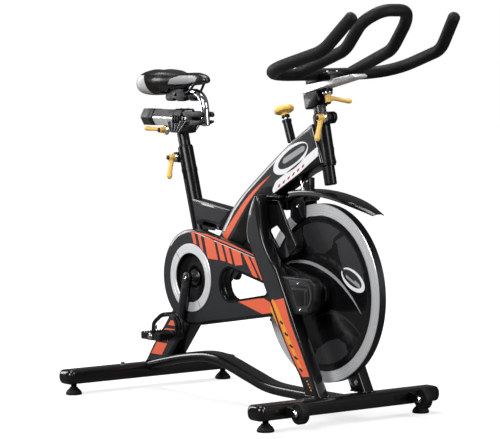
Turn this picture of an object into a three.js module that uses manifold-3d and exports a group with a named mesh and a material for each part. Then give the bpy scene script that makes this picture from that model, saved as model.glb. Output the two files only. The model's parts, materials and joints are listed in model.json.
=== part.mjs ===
// Indoor cycle (spin bike): welded frame on two stabilizers, belt-driven flywheel, friction brake,
// and a seat and handlebar that slide up and down and fore and aft under quick clamps.
// Millimetres. x points forward, y to the rider's left, z up, and z = 0 is the floor.
import * as THREE from "three";
import { mergeVertices } from "three/addons/utils/BufferGeometryUtils.js";
import Module from "manifold-3d";

const wasm = await Module();
wasm.setup();

// ---------- driving dimensions ----------
const clearance = 0.35; // gap left between pieces that touch
const frameShift = -117.95; // moves the middle of the overall length to x = 0

const stabilizer = { bottom: 32, height: 42, depth: 62, wall: 2.5, frontX: 460, rearX: -452 };
const frontHalf = 297; // half length of the front tube, without its end caps
const rearHalf = 288;
const capLength = 18;
const foot = { frontX: 457, rearX: -452, y: 269.5, radius: 23.5, domeHeight: 22, stemRadius: 9 };
const wheel = { x: 532, y: 213, z: 52, radius: 29, width: 22, axleRadius: 5 };

const crank = { x: -137.5, z: 351.2, length: 170, leanDeg: -164.3, armY: 88, armThickness: 13 };
const flywheel = { x: 373, z: 342, radius: 242, rimInner: 205, rimHalf: 13, webHalf: 5, coverRadius: 211 };
const belt = { y: -50.5, halfWidth: 5.5, thickness: 4, bigRadius: 105, smallRadius: 29 };
const guard = {
  outerY: -75, noseY: -59.5, innerY: -38.3, backY: -35.3, bigRadius: 137, noseRadius: 47, wall: 2.5,
};
const guardWindow = { x: 44.5, z: 345, radius: 44.5, farX: 199, farZ: 343.5, farRadius: 16 };

const leg = { innerY: 60, outerY: 98, bottomZ: 74.4, topZ: 592 };
const beamHalfWidth = 28;
const seatLine = { x: -153, z: 351, topX: -270, topZ: 736 }; // axis of the seat tube
const headLine = { x: 401, z: 635, topX: 344, topZ: 884 }; // axis of the head tube
const tubeRadius = 22;
const postRadius = 17;
const postGap = 0.4; // running gap of each post in its tube

const rail = { z: 799.5, halfHeight: 22.5, halfWidth: 24, rearX: -430, frontX: -246 };
const barTube = 16.5; // handlebar radius with its foam
const barRail = { x: 306, z: 877, length: 226, riseDeg: 12.2, halfWidth: 23 };
const brakeLean = 21.4; // degrees from the vertical

// ---------- materials ----------
const paint = (color, roughness, metalness) =>
  new THREE.MeshStandardMaterial({ color, roughness, metalness });
const black = paint(0x16171a, 0.35, 0.4);
const darkGrey = paint(0x36383b, 0.45, 0.2);
const plastic = paint(0x101112, 0.6, 0);
const rubber = paint(0x0c0c0d, 0.9, 0);
const chrome = paint(0xd8dadd, 0.12, 1);
const silver = paint(0xc4c6ca, 0.35, 0.9);
const amber = paint(0xe6a23c, 0.45, 0);
const foam = paint(0x121315, 0.8, 0);

// ---------- solids ----------
function solid(geometry) {
  const bare = geometry.index ? geometry.toNonIndexed() : geometry.clone();
  bare.deleteAttribute("normal");
  bare.deleteAttribute("uv");
  const merged = mergeVertices(bare, 1e-3);
  return new wasm.Manifold(
    new wasm.Mesh({
      numProp: 3,
      vertProperties: new Float32Array(merged.attributes.position.array),
      triVerts: new Uint32Array(merged.index.array),
    }),
  );
}

function geometryOf(manifold) {
  const mesh = manifold.getMesh();
  const geometry = new THREE.BufferGeometry();
  geometry.setAttribute("position", new THREE.BufferAttribute(new Float32Array(mesh.vertProperties), 3));
  geometry.setIndex(new THREE.BufferAttribute(new Uint32Array(mesh.triVerts), 1));
  return geometry;
}

function cut(body, ...tools) {
  return geometryOf(tools.reduce((rest, tool) => rest.subtract(solid(tool)), solid(body)));
}

function join(...pieces) {
  return geometryOf(pieces.map(solid).reduce((a, b) => a.add(b)));
}

function overlap(a, b) {
  return geometryOf(solid(a).intersect(solid(b)));
}

// Keeps the largest body of a cut piece and drops the offcuts.
function largest(geometry) {
  const bodies = solid(geometry).decompose();
  return geometryOf(bodies.reduce((a, b) => (a.volume() > b.volume() ? a : b)));
}

// Cuts neighbours out of a body with the touching gap all round, and keeps the main piece.
function fit(body, ...neighbours) {
  const g = clearance;
  const steps = [[g, 0, 0], [-g, 0, 0], [0, g, 0], [0, -g, 0], [0, 0, g], [0, 0, -g]];
  let rest = solid(body);
  for (const neighbour of neighbours) {
    const tool = solid(neighbour);
    for (const step of steps) rest = rest.subtract(tool.translate(step));
  }
  return largest(geometryOf(rest));
}

// ---------- basic shapes ----------
const at = (x, y, z) => new THREE.Vector3(x, y, z);

function outline(points) {
  return new THREE.Shape(points.map(([x, z]) => new THREE.Vector2(x, z)));
}

// A shape drawn in x and z, from y = low to y = high, with its long edges eased.
function plate(shape, low, high, ease = 0, curveSegments = 12) {
  const geometry = new THREE.ExtrudeGeometry(shape, {
    depth: high - low - 2 * ease,
    bevelEnabled: ease > 0,
    bevelThickness: ease,
    bevelSize: ease,
    bevelOffset: -ease,
    bevelSegments: 1,
    curveSegments,
  });
  return geometry.translate(0, 0, ease).rotateX(Math.PI / 2).translate(0, high, 0);
}

function box(x0, x1, y0, y1, z0, z1) {
  return new THREE.BoxGeometry(x1 - x0, y1 - y0, z1 - z0)
    .translate((x0 + x1) / 2, (y0 + y1) / 2, (z0 + z1) / 2);
}

// Turns a solid made along +y so that it runs from one point to another.
function place(geometry, from, to) {
  const direction = to.clone().sub(from).normalize();
  geometry.applyQuaternion(new THREE.Quaternion().setFromUnitVectors(at(0, 1, 0), direction));
  return geometry.translate(from.x, from.y, from.z);
}

function rod(from, to, radius, segments = 20, endRadius = radius) {
  const length = from.distanceTo(to);
  const cylinder = new THREE.CylinderGeometry(endRadius, radius, length, segments);
  return place(cylinder.translate(0, length / 2, 0), from, to);
}

function pipe(from, to, radius, bore, segments = 24) {
  const extra = to.clone().sub(from).normalize();
  return cut(
    rod(from, to, radius, segments),
    rod(from.clone().sub(extra), to.clone().add(extra), bore, segments),
  );
}

// Turned piece whose axis runs along +y through (x, z); the profile is [radius, y] from low y to high y.
function turned(profile, x, z, segments = 48) {
  const points = profile.map(([r, y]) => new THREE.Vector2(r, y));
  return new THREE.LatheGeometry(points, segments).translate(x, 0, z);
}

function roundedBox(width, height, radius) {
  const w = width / 2;
  const h = height / 2;
  const shape = new THREE.Shape();
  shape.moveTo(-w + radius, -h);
  shape.lineTo(w - radius, -h);
  shape.absarc(w - radius, -h + radius, radius, -Math.PI / 2, 0);
  shape.lineTo(w, h - radius);
  shape.absarc(w - radius, h - radius, radius, 0, Math.PI / 2);
  shape.lineTo(-w + radius, h);
  shape.absarc(-w + radius, h - radius, radius, Math.PI / 2, Math.PI);
  shape.lineTo(-w, -h + radius);
  shape.absarc(-w + radius, -h + radius, radius, Math.PI, 1.5 * Math.PI);
  return shape;
}

function circleShape(radius) {
  return new THREE.Shape().absarc(0, 0, radius, 0, 2 * Math.PI);
}

// A path of straight stretches whose corners are rounded by the radius given for each.
function bentPath(points, radii) {
  const path = new THREE.CurvePath();
  let last = points[0];
  for (let i = 1; i < points.length - 1; i++) {
    const inward = points[i].clone().sub(points[i - 1]).normalize();
    const onward = points[i + 1].clone().sub(points[i]).normalize();
    const start = points[i].clone().addScaledVector(inward, -radii[i - 1]);
    const end = points[i].clone().addScaledVector(onward, radii[i - 1]);
    path.add(new THREE.LineCurve3(last, start));
    path.add(new THREE.QuadraticBezierCurve3(start, points[i], end));
    last = end;
  }
  path.add(new THREE.LineCurve3(last, points[points.length - 1]));
  return path;
}

function sweep(shape, path, steps, curveSegments = 3) {
  return new THREE.ExtrudeGeometry(shape, { extrudePath: path, steps, curveSegments, bevelEnabled: false });
}

// The outline of a band round two circles: the shape of the belt, its guard and the guard's window.
function bandShape(x1, z1, r1, x2, z2, r2) {
  const span = Math.hypot(x2 - x1, z2 - z1);
  const tilt = Math.atan2(z2 - z1, x2 - x1);
  const half = Math.acos((r1 - r2) / span);
  const shape = new THREE.Shape();
  shape.absarc(x1, z1, r1, tilt + half, tilt + 2 * Math.PI - half);
  shape.absarc(x2, z2, r2, tilt - half, tilt + half);
  return shape;
}

function bandBetween(outerGrow, innerGrow, low, high, segments) {
  const grown = (g) =>
    bandShape(crank.x, crank.z, belt.bigRadius + g, flywheel.x, flywheel.z, belt.smallRadius + g);
  return cut(
    plate(grown(outerGrow), low, high, 0, segments),
    plate(grown(innerGrow), low - 1, high + 1, 0, segments),
  );
}

// A polygon drawn in by a wall thickness, used to make box sections hollow.
function drawnIn(points, wall) {
  return points.map(([x, z], i) => {
    const [ax, az] = points[(i + points.length - 1) % points.length];
    const [bx, bz] = points[(i + 1) % points.length];
    const a = new THREE.Vector2(x - ax, z - az).normalize();
    const b = new THREE.Vector2(bx - x, bz - z).normalize();
    const normal = new THREE.Vector2(-a.y - b.y, a.x + b.x).normalize();
    const reach = wall / Math.max(0.5, normal.dot(new THREE.Vector2(-a.y, a.x)));
    return [x + normal.x * reach, z + normal.y * reach];
  });
}

// A closed box section of counter-clockwise outline, hollow inside, with a drain hole at one point.
function boxSection(points, low, high, drain, wall = 3) {
  const inner = plate(outline(drawnIn(points, wall)), low + wall, high - wall);
  const [x, z, dx, dz] = drain;
  return cut(
    plate(outline(points), low, high, 4), inner,
    rod(at(x, (low + high) / 2, z), at(x + dx, (low + high) / 2, z + dz), 4, 8),
  );
}

// ---------- the object ----------
const bike = new THREE.Group();
bike.position.x = frameShift;

function add(name, geometry, material) {
  geometry.deleteAttribute("uv");
  const mesh = new THREE.Mesh(geometry, material);
  mesh.name = name;
  bike.add(mesh);
  return geometry;
}

const sides = [["right", -1], ["left", 1]];
const alongLine = (line, z) => {
  const share = (z - line.z) / (line.topZ - line.z);
  return at(line.x + share * (line.topX - line.x), 0, z);
};

// ---- base: stabilizers, caps, levelling feet, transport wheels ----
function stabilizerTube(x, half, footX) {
  const middle = stabilizer.bottom + stabilizer.height / 2;
  const section = (inset) =>
    new THREE.ExtrudeGeometry(
      roundedBox(stabilizer.depth - 2 * inset, stabilizer.height - 2 * inset, 18 - inset),
      { depth: 2 * (half + (inset ? 1 : 0)), bevelEnabled: false, curveSegments: 2 },
    ).translate(0, 0, -half - (inset ? 1 : 0)).rotateX(Math.PI / 2).translate(x, 0, middle);
  const stems = sides.map(([, side]) =>
    rod(at(footX, side * foot.y, 20), at(footX, side * foot.y, middle), foot.stemRadius + clearance, 16));
  return cut(section(0), section(stabilizer.wall), ...stems);
}

function endCap(x, half, side) {
  const middle = stabilizer.bottom + stabilizer.height / 2;
  const shape = roundedBox(stabilizer.depth - 10, stabilizer.height - 10, 13);
  const cap = new THREE.ExtrudeGeometry(shape, {
    depth: capLength - 7, bevelEnabled: true, bevelThickness: 7, bevelSize: 5, bevelSegments: 1,
    curveSegments: 2,
  });
  cap.rotateX(side > 0 ? -Math.PI / 2 : Math.PI / 2);
  const blank = cap.translate(x, side * (half + clearance), middle);
  return overlap(
    blank,
    box(x - 60, x + 60, side > 0 ? half + clearance : -500, side > 0 ? 500 : -half - clearance, 0, 100),
  );
}

function wheelLug(side) {
  const { x, y, z, width, axleRadius } = wheel;
  const shape = outline([[488, 40], [x + 2, z - 10], [x + 10, z], [x + 2, z + 10], [488, 68]]);
  const lugs = [-1, 1].map((end) => {
    const face = side * y + end * (width / 2 + 1);
    return plate(shape, Math.min(face, face + end * 4), Math.max(face, face + end * 4));
  });
  const pin = rod(at(x, side * y - width / 2 - 7, z), at(x, side * y + width / 2 + 7, z), axleRadius, 12);
  return join(...lugs, pin);
}

const frontTube = join(
  stabilizerTube(stabilizer.frontX, frontHalf, foot.frontX), wheelLug(-1), wheelLug(1),
);
add("front_stabilizer", frontTube, black);
const rearTube = stabilizerTube(stabilizer.rearX, rearHalf, foot.rearX);
add("rear_stabilizer", rearTube, black);

for (const [name, side] of sides) {
  add(`front_cap_${name}`, endCap(stabilizer.frontX, frontHalf, side), plastic);
  add(`rear_cap_${name}`, endCap(stabilizer.rearX, rearHalf, side), plastic);
  for (const [end, x] of [["front", foot.frontX], ["rear", foot.rearX]]) {
    const { radius, domeHeight, stemRadius, y } = foot;
    const dome = [
      [0, 0], [radius, 0], [radius, 6], [radius * 0.9, 13], [radius * 0.62, 19],
      [stemRadius, domeHeight],
    ];
    const profile = [...dome, [stemRadius, 52], [0, 52]].map(([r, h]) => new THREE.Vector2(r, h));
    const geometry = new THREE.LatheGeometry(profile, 16).rotateX(Math.PI / 2).translate(x, side * y, 0);
    add(`foot_${end}_${name}`, geometry, rubber);
  }
  const { x, y, z, radius, width, axleRadius } = wheel;
  const half = width / 2;
  const bore = axleRadius + 0.15;
  const tyre = [
    [bore, -half], [radius - 3, -half], [radius, -half + 3], [radius, half - 3], [radius - 3, half],
    [bore, half],
  ];
  const ring = turned([...tyre, [bore, -half]], x, z, 24).translate(0, side * y, 0);
  add(`transport_wheel_${name}`, ring, rubber);
}

const beamLine = [
  [-419, 70], [-385, 79], [-283, 101], [-190, 116], [-127, 119], [-60, 111], [51, 83], [142, 62],
  [254, 57], [427, 57],
];
const underBeam = plate(outline([...beamLine, [427, 0], [-419, 0]].reverse()), -60, 60);

function baseBeam() {
  const path = new THREE.CatmullRomCurve3(beamLine.map(([x, z]) => at(x, 0, z)));
  const section = roundedBox(60, 29, 9);
  section.holes.push(roundedBox(54, 23, 6));
  return sweep(section, path, 16, 1);
}

const beam = fit(baseBeam(), rearTube, frontTube);
add("base_beam", beam, black);

// ---- main frame ----
const shellEnds = 34;
const bearingBore = 12.2; // the bearings are pressed in at each end and belong to the shell's node
const shellRadius = 27;
const shellProfile = [
  [bearingBore, -33], [21, -33], [21, -shellEnds], [shellRadius, -shellEnds],
  [shellRadius, shellEnds], [21, shellEnds], [21, 33], [bearingBore, 33], [bearingBore, 22],
  [21, 22], [21, -22], [bearingBore, -22], [bearingBore, -33],
];
add("bottom_bracket_shell", turned(shellProfile, crank.x, crank.z, 20), black);
const shellRoom = rod(at(crank.x, -60, crank.z), at(crank.x, 60, crank.z), shellRadius + 1.3, 20);

const strutPoints = [
  [-437, 78], [-330, 78], [-310, 104], [-112, 330], [-137, 351], [-178, 372], [-215, 336], [-398, 130],
];
const strut = boxSection(strutPoints, -beamHalfWidth, beamHalfWidth, [-150, 340, 20, 15]);
const strutRoom = plate(outline(strutPoints), -beamHalfWidth - clearance, beamHalfWidth + clearance);
add("rear_strut", fit(cut(strut, underBeam, shellRoom), beam, rearTube), black);

const beamPoints = [
  [-116, 320], [-80, 336], [22, 420], [67, 482], [84, 541], [140, 590], [183, 596], [305, 659], [396, 694],
  [352, 800], [262, 748], [168, 686], [52, 603], [-5, 553], [-62, 478], [-152, 385], [-137, 351],
];
const brakeDirection = at(
  Math.sin(THREE.MathUtils.degToRad(brakeLean)), 0, -Math.cos(THREE.MathUtils.degToRad(brakeLean)),
);
const brakePoint = (distance) => at(236, 0, 737).addScaledVector(brakeDirection, distance);

const headTop = alongLine(headLine, 822);
const headFoot = alongLine(headLine, 686);
const headBlank = rod(headFoot, headTop, tubeRadius, 24);
const headRoom = rod(headFoot, headTop, tubeRadius + 2 * clearance, 24);
const seatTop = alongLine(seatLine, 716);
const seatFoot = alongLine(seatLine, 360);
const seatBlank = rod(seatFoot, seatTop, tubeRadius, 24);
const seatRoom = rod(seatFoot, seatTop, tubeRadius + 2 * clearance, 24);

const brakeBore = 7.5;
const brakeSleeve = pipe(brakePoint(-74), brakePoint(30), 12, brakeBore, 14);
const brakeHole = rod(brakePoint(-90), brakePoint(170), brakeBore, 14);
const mainBlank = cut(
  boxSection(beamPoints, -beamHalfWidth, beamHalfWidth, [-120, 345, 30, 10]), brakeHole,
);
const beamRoom = plate(outline(beamPoints), -beamHalfWidth - clearance, beamHalfWidth + clearance);
const sleeveAbove = cut(brakeSleeve, plate(outline(drawnIn(beamPoints, 1)), -15, 15));
const mainBeam = fit(cut(join(mainBlank, sleeveAbove), headRoom, seatRoom, shellRoom), strutRoom);
add("main_beam", mainBeam, black);

// Split clamp ears on a tube: two lugs with a slot between them, and a bore for the lever's screw.
function clampEars(base, direction, halfHeight, reach) {
  const lug = new THREE.BoxGeometry(reach, 28, 2 * halfHeight).translate(reach / 2 + 10, 0, 0);
  lug.rotateY(-Math.atan2(direction.z, direction.x));
  return lug.translate(base.x, base.y, base.z);
}

const bore = (line, low, high) => rod(
  alongLine(line, low), alongLine(line, high), postRadius + postGap, 24,
);
const headEarBase = alongLine(headLine, 812);
const headEars = clampEars(headEarBase, at(1, 0, 0.1), 15, 50);
const headLeverAt = at(396, 0, 817);
const headSlot = box(365, 460, -1.5, 1.5, 790, 850);
const seatEarBase = alongLine(seatLine, 686);
const seatEars = clampEars(seatEarBase, at(-1, 0, 0), 15, 36);
const seatLeverAt = at(-290, 0, 686);
const seatSlot = box(-340, -262, -1.5, 1.5, 665, 730);
const screwHole = (p) => rod(at(p.x, -60, p.z), at(p.x, 60, p.z), 4.6, 12);

const headTube = cut(join(headBlank, headEars), bore(headLine, 670, 840), headSlot, screwHole(headLeverAt));
add("head_tube", headTube, black);
const seatTube = cut(join(seatBlank, seatEars), bore(seatLine, 400, 740), seatSlot, screwHole(seatLeverAt));
add("seat_tube", fit(cut(seatTube, shellRoom), strutRoom), black);

const linkPoints = [[-215, 500], [-62, 484], [-15, 549], [-232, 574]];
const linkPlate = boxSection(linkPoints, -18, 18, [-215, 535, 30, 0]);
add("link_plate", fit(cut(linkPlate, seatRoom), beamRoom), darkGrey);

// ---- fork: crown and two legs ----
function legShape() {
  const shape = new THREE.Shape();
  shape.moveTo(409, leg.bottomZ);
  shape.lineTo(466, leg.bottomZ);
  shape.lineTo(284, 408);
  shape.quadraticCurveTo(198, 470, 204, leg.topZ);
  shape.lineTo(172, leg.topZ);
  shape.quadraticCurveTo(132, 506, 165, 465);
  shape.lineTo(268, 290);
  shape.quadraticCurveTo(322, 196, 382, 125);
  return shape;
}

const legs = sides.map(([name, side]) => {
  const low = side < 0 ? -leg.outerY : leg.innerY;
  const points = legShape().getPoints(6).map((p) => [p.x, p.y]);
  const geometry = boxSection(points, low, low + leg.outerY - leg.innerY, [436, 60, 0, 40]);
  return add(`fork_leg_${name}`, geometry, darkGrey);
});

const crownTop = join(
  box(170, 206, -leg.outerY, leg.outerY, leg.topZ + clearance, 604),
  box(170, 244, -leg.innerY, leg.innerY, leg.topZ + clearance, 604),
);
const crownBlock = cut(box(176, 246, -30, 30, 556, 650), box(179, 243, -27, 27, 550, 640));
const bracketArm = box(180, 244, -59, -26, 575, 589);
const bracketOutline = [[188, 506], [229, 424], [284, 434], [327, 466], [284, 526], [246, 589], [200, 589]];
const bracketHole = [[203, 506], [246, 456], [276, 492], [237, 521]];
const bracketRing = cut(
  plate(outline(bracketOutline), -59, -52),
  plate(outline(bracketHole), -70, -40),
);

// ---- chain guard, drive belt ----
const guardOutline = (inset) =>
  bandShape(crank.x, crank.z, guard.bigRadius - inset, flywheel.x, flywheel.z, guard.noseRadius - inset);
const windowOutline = (grow) =>
  bandShape(
    guardWindow.x, guardWindow.z, guardWindow.radius + grow, guardWindow.farX, guardWindow.farZ,
    guardWindow.farRadius + grow,
  );
const guardSegments = 12;
const behindLegInside = outline([[-400, 100], [265, 100], [265, 288], [158, 466], [158, 600], [-400, 600]]);
const behindLeg = outline([
  [-400, 100], [285, 100], [285, 257], [266, 289], [161, 468], [161, 600], [-400, 600],
]);

function guardShell() {
  const { outerY, noseY, innerY, wall } = guard;
  const windowWall = plate(windowOutline(wall), -90, 0, 0, 6);
  const slab = (inset, low, high, ease = 0) => plate(guardOutline(inset), low, high, ease, guardSegments);
  const full = slab(0, noseY, innerY);
  const rear = overlap(slab(0, outerY, noseY), plate(behindLeg, outerY - 1, noseY));
  const inside = cut(slab(wall, noseY + wall, innerY + 1), windowWall);
  const rearInside = cut(
    overlap(slab(wall, outerY + wall, noseY + wall + 1), plate(behindLegInside, -90, 0)),
    windowWall,
  );
  const crankOpening = rod(at(crank.x, -90, crank.z), at(crank.x, -60, crank.z), 70, 24);
  const axleOpening = rod(at(flywheel.x, -90, flywheel.z), at(flywheel.x, -50, flywheel.z), 14, 16);
  return cut(
    join(full, rear), inside, rearInside, plate(windowOutline(0), -90, 0, 0, 6), crankOpening,
    axleOpening,
  );
}
const guardBody = guardShell();
add("chain_guard", guardBody, darkGrey);
const crown = fit(join(crownTop, crownBlock, bracketArm, bracketRing), beamRoom, legs[0], guardBody);
add("fork_crown", crown, black);

const guardBack = cut(
  plate(guardOutline(1), guard.innerY + clearance, guard.backY, 0, guardSegments),
  plate(windowOutline(-1), -90, 0, 0, 6),
  rod(at(crank.x, -90, crank.z), at(crank.x, 0, crank.z), 28, 24),
  rod(at(flywheel.x, -90, flywheel.z), at(flywheel.x, 0, flywheel.z), 20, 16),
);
add("chain_guard_back", guardBack, plastic);

const trim = [
  [70, -78], [97, -78], [97, guard.outerY - clearance], [70, guard.outerY - clearance], [70, -78],
];
add("crank_ring", turned(trim, crank.x, crank.z, 32), silver);

const beltLow = belt.y - belt.halfWidth;
const beltHigh = belt.y + belt.halfWidth;
add("drive_belt", bandBetween(clearance + belt.thickness, clearance, beltLow, beltHigh, 12), rubber);

// ---- cranks, pulley and pedals ----
const crankAngle = THREE.MathUtils.degToRad(crank.leanDeg);
const crankEnd = (side) => {
  const reach = -side * crank.length;
  return at(
    crank.x + reach * Math.sin(crankAngle), side * crank.armY, crank.z + reach * Math.cos(crankAngle),
  );
};

const spindle = [[0, -96], [9, -96], [9, -73], [12, -66], [12, 66], [9, 73], [9, 96], [0, 96]];
add("crank_spindle", turned(spindle, crank.x, crank.z, 16), silver);

const pulleyProfile = [
  [12.3, -64], [24, -64], [24, belt.y - 2], [94, belt.y - 2], [94, beltLow], [belt.bigRadius, beltLow],
  [belt.bigRadius, beltHigh], [94, beltHigh], [94, belt.y + 2], [24, belt.y + 2], [24, -41],
  [12.3, -41], [12.3, -64],
];
add("drive_pulley", turned(pulleyProfile, crank.x, crank.z, 30), silver);

function crankArm(side) {
  const y = side * crank.armY;
  const half = crank.armThickness / 2;
  const end = crankEnd(side);
  const shape = bandShape(crank.x, crank.z, 17, end.x, end.z, 13);
  const arm = plate(shape, y - half, y + half, 2, 5);
  const pin = rod(at(end.x, y + side * (half - 1), end.z), at(end.x, side * 190, end.z), 7, 12);
  const hole = rod(at(crank.x, y - 10, crank.z), at(crank.x, y + 10, crank.z), 9.35, 16);
  return join(cut(arm, hole), pin);
}

function pedalBody(end, side) {
  const inner = side * 99;
  const outer = side * 187;
  const [low, high] = side < 0 ? [outer, inner] : [inner, outer];
  const cage = plate(roundedBox(92, 22, 9), low, high, 2, 3);
  const core = (x) => box(x - 15, x + 15, low + 12, high - 12, -20, 20);
  const gaps = [-27, 27].map(core);
  const barrel = rod(at(0, low - 5, 0), at(0, high + 5, 0), 7.4, 12);
  return cut(cage, ...gaps, barrel).translate(end.x, 0, end.z);
}

// Toe cage: a strip that rises from the front of the pedal and curls back over the shoe.
function toeCage(end, side) {
  const shape = new THREE.Shape();
  shape.moveTo(46.5, -10);
  shape.lineTo(50, -10);
  shape.quadraticCurveTo(88, 0, 82, 34);
  shape.quadraticCurveTo(72, 62, 30, 64);
  shape.lineTo(30, 60);
  shape.quadraticCurveTo(69, 58, 78, 33);
  shape.quadraticCurveTo(83, 4, 46.5, 0);
  const y = side * 143;
  return plate(shape, y - 26, y + 26, 0, 6).translate(end.x, 0, end.z);
}

for (const [name, side] of sides) {
  const end = crankEnd(side);
  add(`crank_arm_${name}`, crankArm(side), darkGrey);
  add(`pedal_${name}`, pedalBody(end, side), black);
  add(`toe_cage_${name}`, toeCage(end, side), plastic);
}

// ---- flywheel ----
const { x: wheelX, z: wheelZ } = flywheel;
const hubRadius = 30;
const discProfile = [
  [hubRadius - 2, -flywheel.webHalf], [flywheel.rimInner, -flywheel.webHalf],
  [flywheel.rimInner, -flywheel.rimHalf], [flywheel.radius, -flywheel.rimHalf],
  [flywheel.radius, flywheel.rimHalf], [flywheel.rimInner, flywheel.rimHalf],
  [flywheel.rimInner, flywheel.webHalf], [hubRadius - 2, flywheel.webHalf],
  [hubRadius - 2, -flywheel.webHalf],
];
const hubProfile = [
  [10.4, beltLow], [belt.smallRadius, beltLow], [belt.smallRadius, beltHigh], [17, beltHigh], [17, -33],
  [hubRadius, -33], [hubRadius, 33], [17, 33], [17, 50], [10.4, 50], [10.4, beltLow],
];
const wheelBody = join(turned(discProfile, wheelX, wheelZ, 48), turned(hubProfile, wheelX, wheelZ, 22));
add("flywheel", wheelBody, silver);

const coverInner = flywheel.rimHalf + clearance;
for (const [name, side] of sides) {
  const ring = [
    [hubRadius + 0.4, coverInner], [flywheel.coverRadius, coverInner],
    [flywheel.coverRadius - 2, coverInner + 3], [hubRadius + 0.4, coverInner + 3],
    [hubRadius + 0.4, coverInner],
  ];
  const profile = side > 0 ? ring : ring.map(([r, y]) => [r, -y]).reverse();
  add(`flywheel_cover_${name}`, turned(profile, wheelX, wheelZ, 40), darkGrey);
}

add("flywheel_axle", rod(at(wheelX, -82, wheelZ), at(wheelX, 82, wheelZ), 10, 16), chrome);

for (const [index, [name, side]] of sides.entries()) {
  const shape = outline([
    [352, 288], [400, 290], [430, 300], [434, 330], [434, 380], [414, 388], [290, 388], [296, 378],
  ]);
  const [low, high] = side < 0 ? [-91, -62] : [62, 91];
  const block = cut(
    plate(shape, low, high, 3),
    rod(at(wheelX, -83, wheelZ), at(wheelX, 83, wheelZ), 10 + clearance, 16),
  );
  add(`axle_mount_${name}`, fit(block, legs[index]), black);
}

// ---- brake ----
const padGap = 9.5; // from the pad to the rim: the push travel and the knob's advance both fit in it
const padThickness = 12.5;
const brakeRodRadius = 6;
const padHalf = 17;
const shoeBlank = join(
  box(262, 336, -padHalf, padHalf, 548, 604), box(250, 312, -padHalf, padHalf, 520, 560),
);
const wheelDisc = (radius, segments) => rod(
  at(wheelX, -30, wheelZ), at(wheelX, 30, wheelZ), radius, segments,
);
const rodHole = rod(brakePoint(110), brakePoint(166), brakeRodRadius + clearance, 16);
const shoeTop = flywheel.radius + padGap + padThickness;
const shoeShape = cut(
  overlap(shoeBlank, wheelDisc(shoeTop, 48)),
  wheelDisc(flywheel.radius + padGap, 64),
  rodHole,
);
add("brake_shoe", shoeShape, black);
// A bent plate over the shoe whose cheeks reach down beside the rim.
const caliper = cut(
  overlap(box(254, 316, -23.5, 23.5, 500, 620), wheelDisc(shoeTop + clearance + 4, 48)),
  overlap(
    box(240, 330, -padHalf - clearance, padHalf + clearance, 480, 620),
    wheelDisc(shoeTop + clearance, 48),
  ),
  wheelDisc(212, 48),
  rodHole,
);
add("brake_caliper", caliper, black);
add("brake_rod", rod(brakePoint(-96), brakePoint(165), brakeRodRadius, 16), chrome);

// Mushroom knob on the top of the brake rod.
function brakeKnob() {
  const profile = [
    [6.3, 0], [9, 0], [11, 8], [25, 13], [28.5, 20], [27, 27], [20, 32], [0, 34], [0, 22], [6.3, 22],
    [6.3, 0],
  ].map(([r, h]) => new THREE.Vector2(r, h));
  const knob = new THREE.LatheGeometry(profile, 20);
  const foot = brakePoint(-82);
  return place(knob, foot, brakePoint(-120));
}
add("brake_knob", brakeKnob(), amber);

// ---- sweat guard over the flywheel ----
function sweatGuard() {
  const top = new THREE.Shape();
  top.moveTo(256, 597);
  top.quadraticCurveTo(420, 622, 601, 552);
  top.lineTo(598, 568);
  top.quadraticCurveTo(420, 641, 256, 616);
  const blank = plate(top, -34, 34, 2, 10);
  const under = new THREE.Shape();
  under.moveTo(250, 590);
  under.quadraticCurveTo(420, 615, 640, 530);
  under.lineTo(598, 564);
  under.quadraticCurveTo(420, 637, 250, 612);
  return cut(blank, plate(under, -31, 31, 0, 10));
}
const guardBoss = box(288, 322, -11, 11, 618, 664);
const rodRoom = rod(brakePoint(90), brakePoint(170), 9, 12);
add("sweat_guard", fit(cut(join(sweatGuard(), guardBoss), rodRoom), beamRoom, crown), plastic);

// ---- seat: post, fore and aft rail, bent pillar, saddle ----
const hexagon = (grow) => {
  const h = rail.halfHeight + grow;
  const w = rail.halfWidth + grow;
  return [
    [-w * 0.5, -h], [w * 0.5, -h], [w, -h * 0.1], [w, h * 0.1], [w * 0.5, h], [-w * 0.5, h],
    [-w, h * 0.1], [-w, -h * 0.1],
  ];
};

// A bar along x whose section is drawn in y and z.
function railBar(points, x0, x1) {
  const shape = new THREE.Shape(points.map(([y, z]) => new THREE.Vector2(y, z)));
  return new THREE.ExtrudeGeometry(shape, { depth: x1 - x0, bevelEnabled: false })
    .rotateX(Math.PI / 2).rotateZ(Math.PI / 2).translate(x0, 0, rail.z);
}

const carriageTop = alongLine(seatLine, 762);
const seatPost = rod(alongLine(seatLine, 470), carriageTop, postRadius, 28);
const carriageRing = railBar([[-31, -43], [31, -43], [34, 0], [22, 27], [-22, 27], [-34, 0]], -286, -248);
const carriageFoot = plate(outline([[-330, 757], [-252, 742], [-250, 775], [-330, 775]]), -24, 24, 2);
const carriageLug = box(-336, -306, -24, 24, 754, 775);
const carriage = cut(join(carriageRing, carriageFoot, carriageLug), railBar(hexagon(0.5), -500, 0));
const seatLeverSlide = at(-320, 0, 765);
add("seat_post", cut(join(seatPost, carriage), screwHole(seatLeverSlide)), black);

const railSlots = [box(-420, -250, -3, 3, rail.z + 8, rail.z + 40)];
add("seat_rail", cut(railBar(hexagon(0), rail.rearX + 34, rail.frontX), ...railSlots), silver);
const capShape = [[-15, -24], [15, -24], [27, -2], [27, 2], [15, 24], [-15, 24], [-27, 2], [-27, -2]];
add("seat_rail_cap", railBar(capShape, rail.rearX - 24, rail.rearX + 34 - clearance), plastic);

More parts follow.
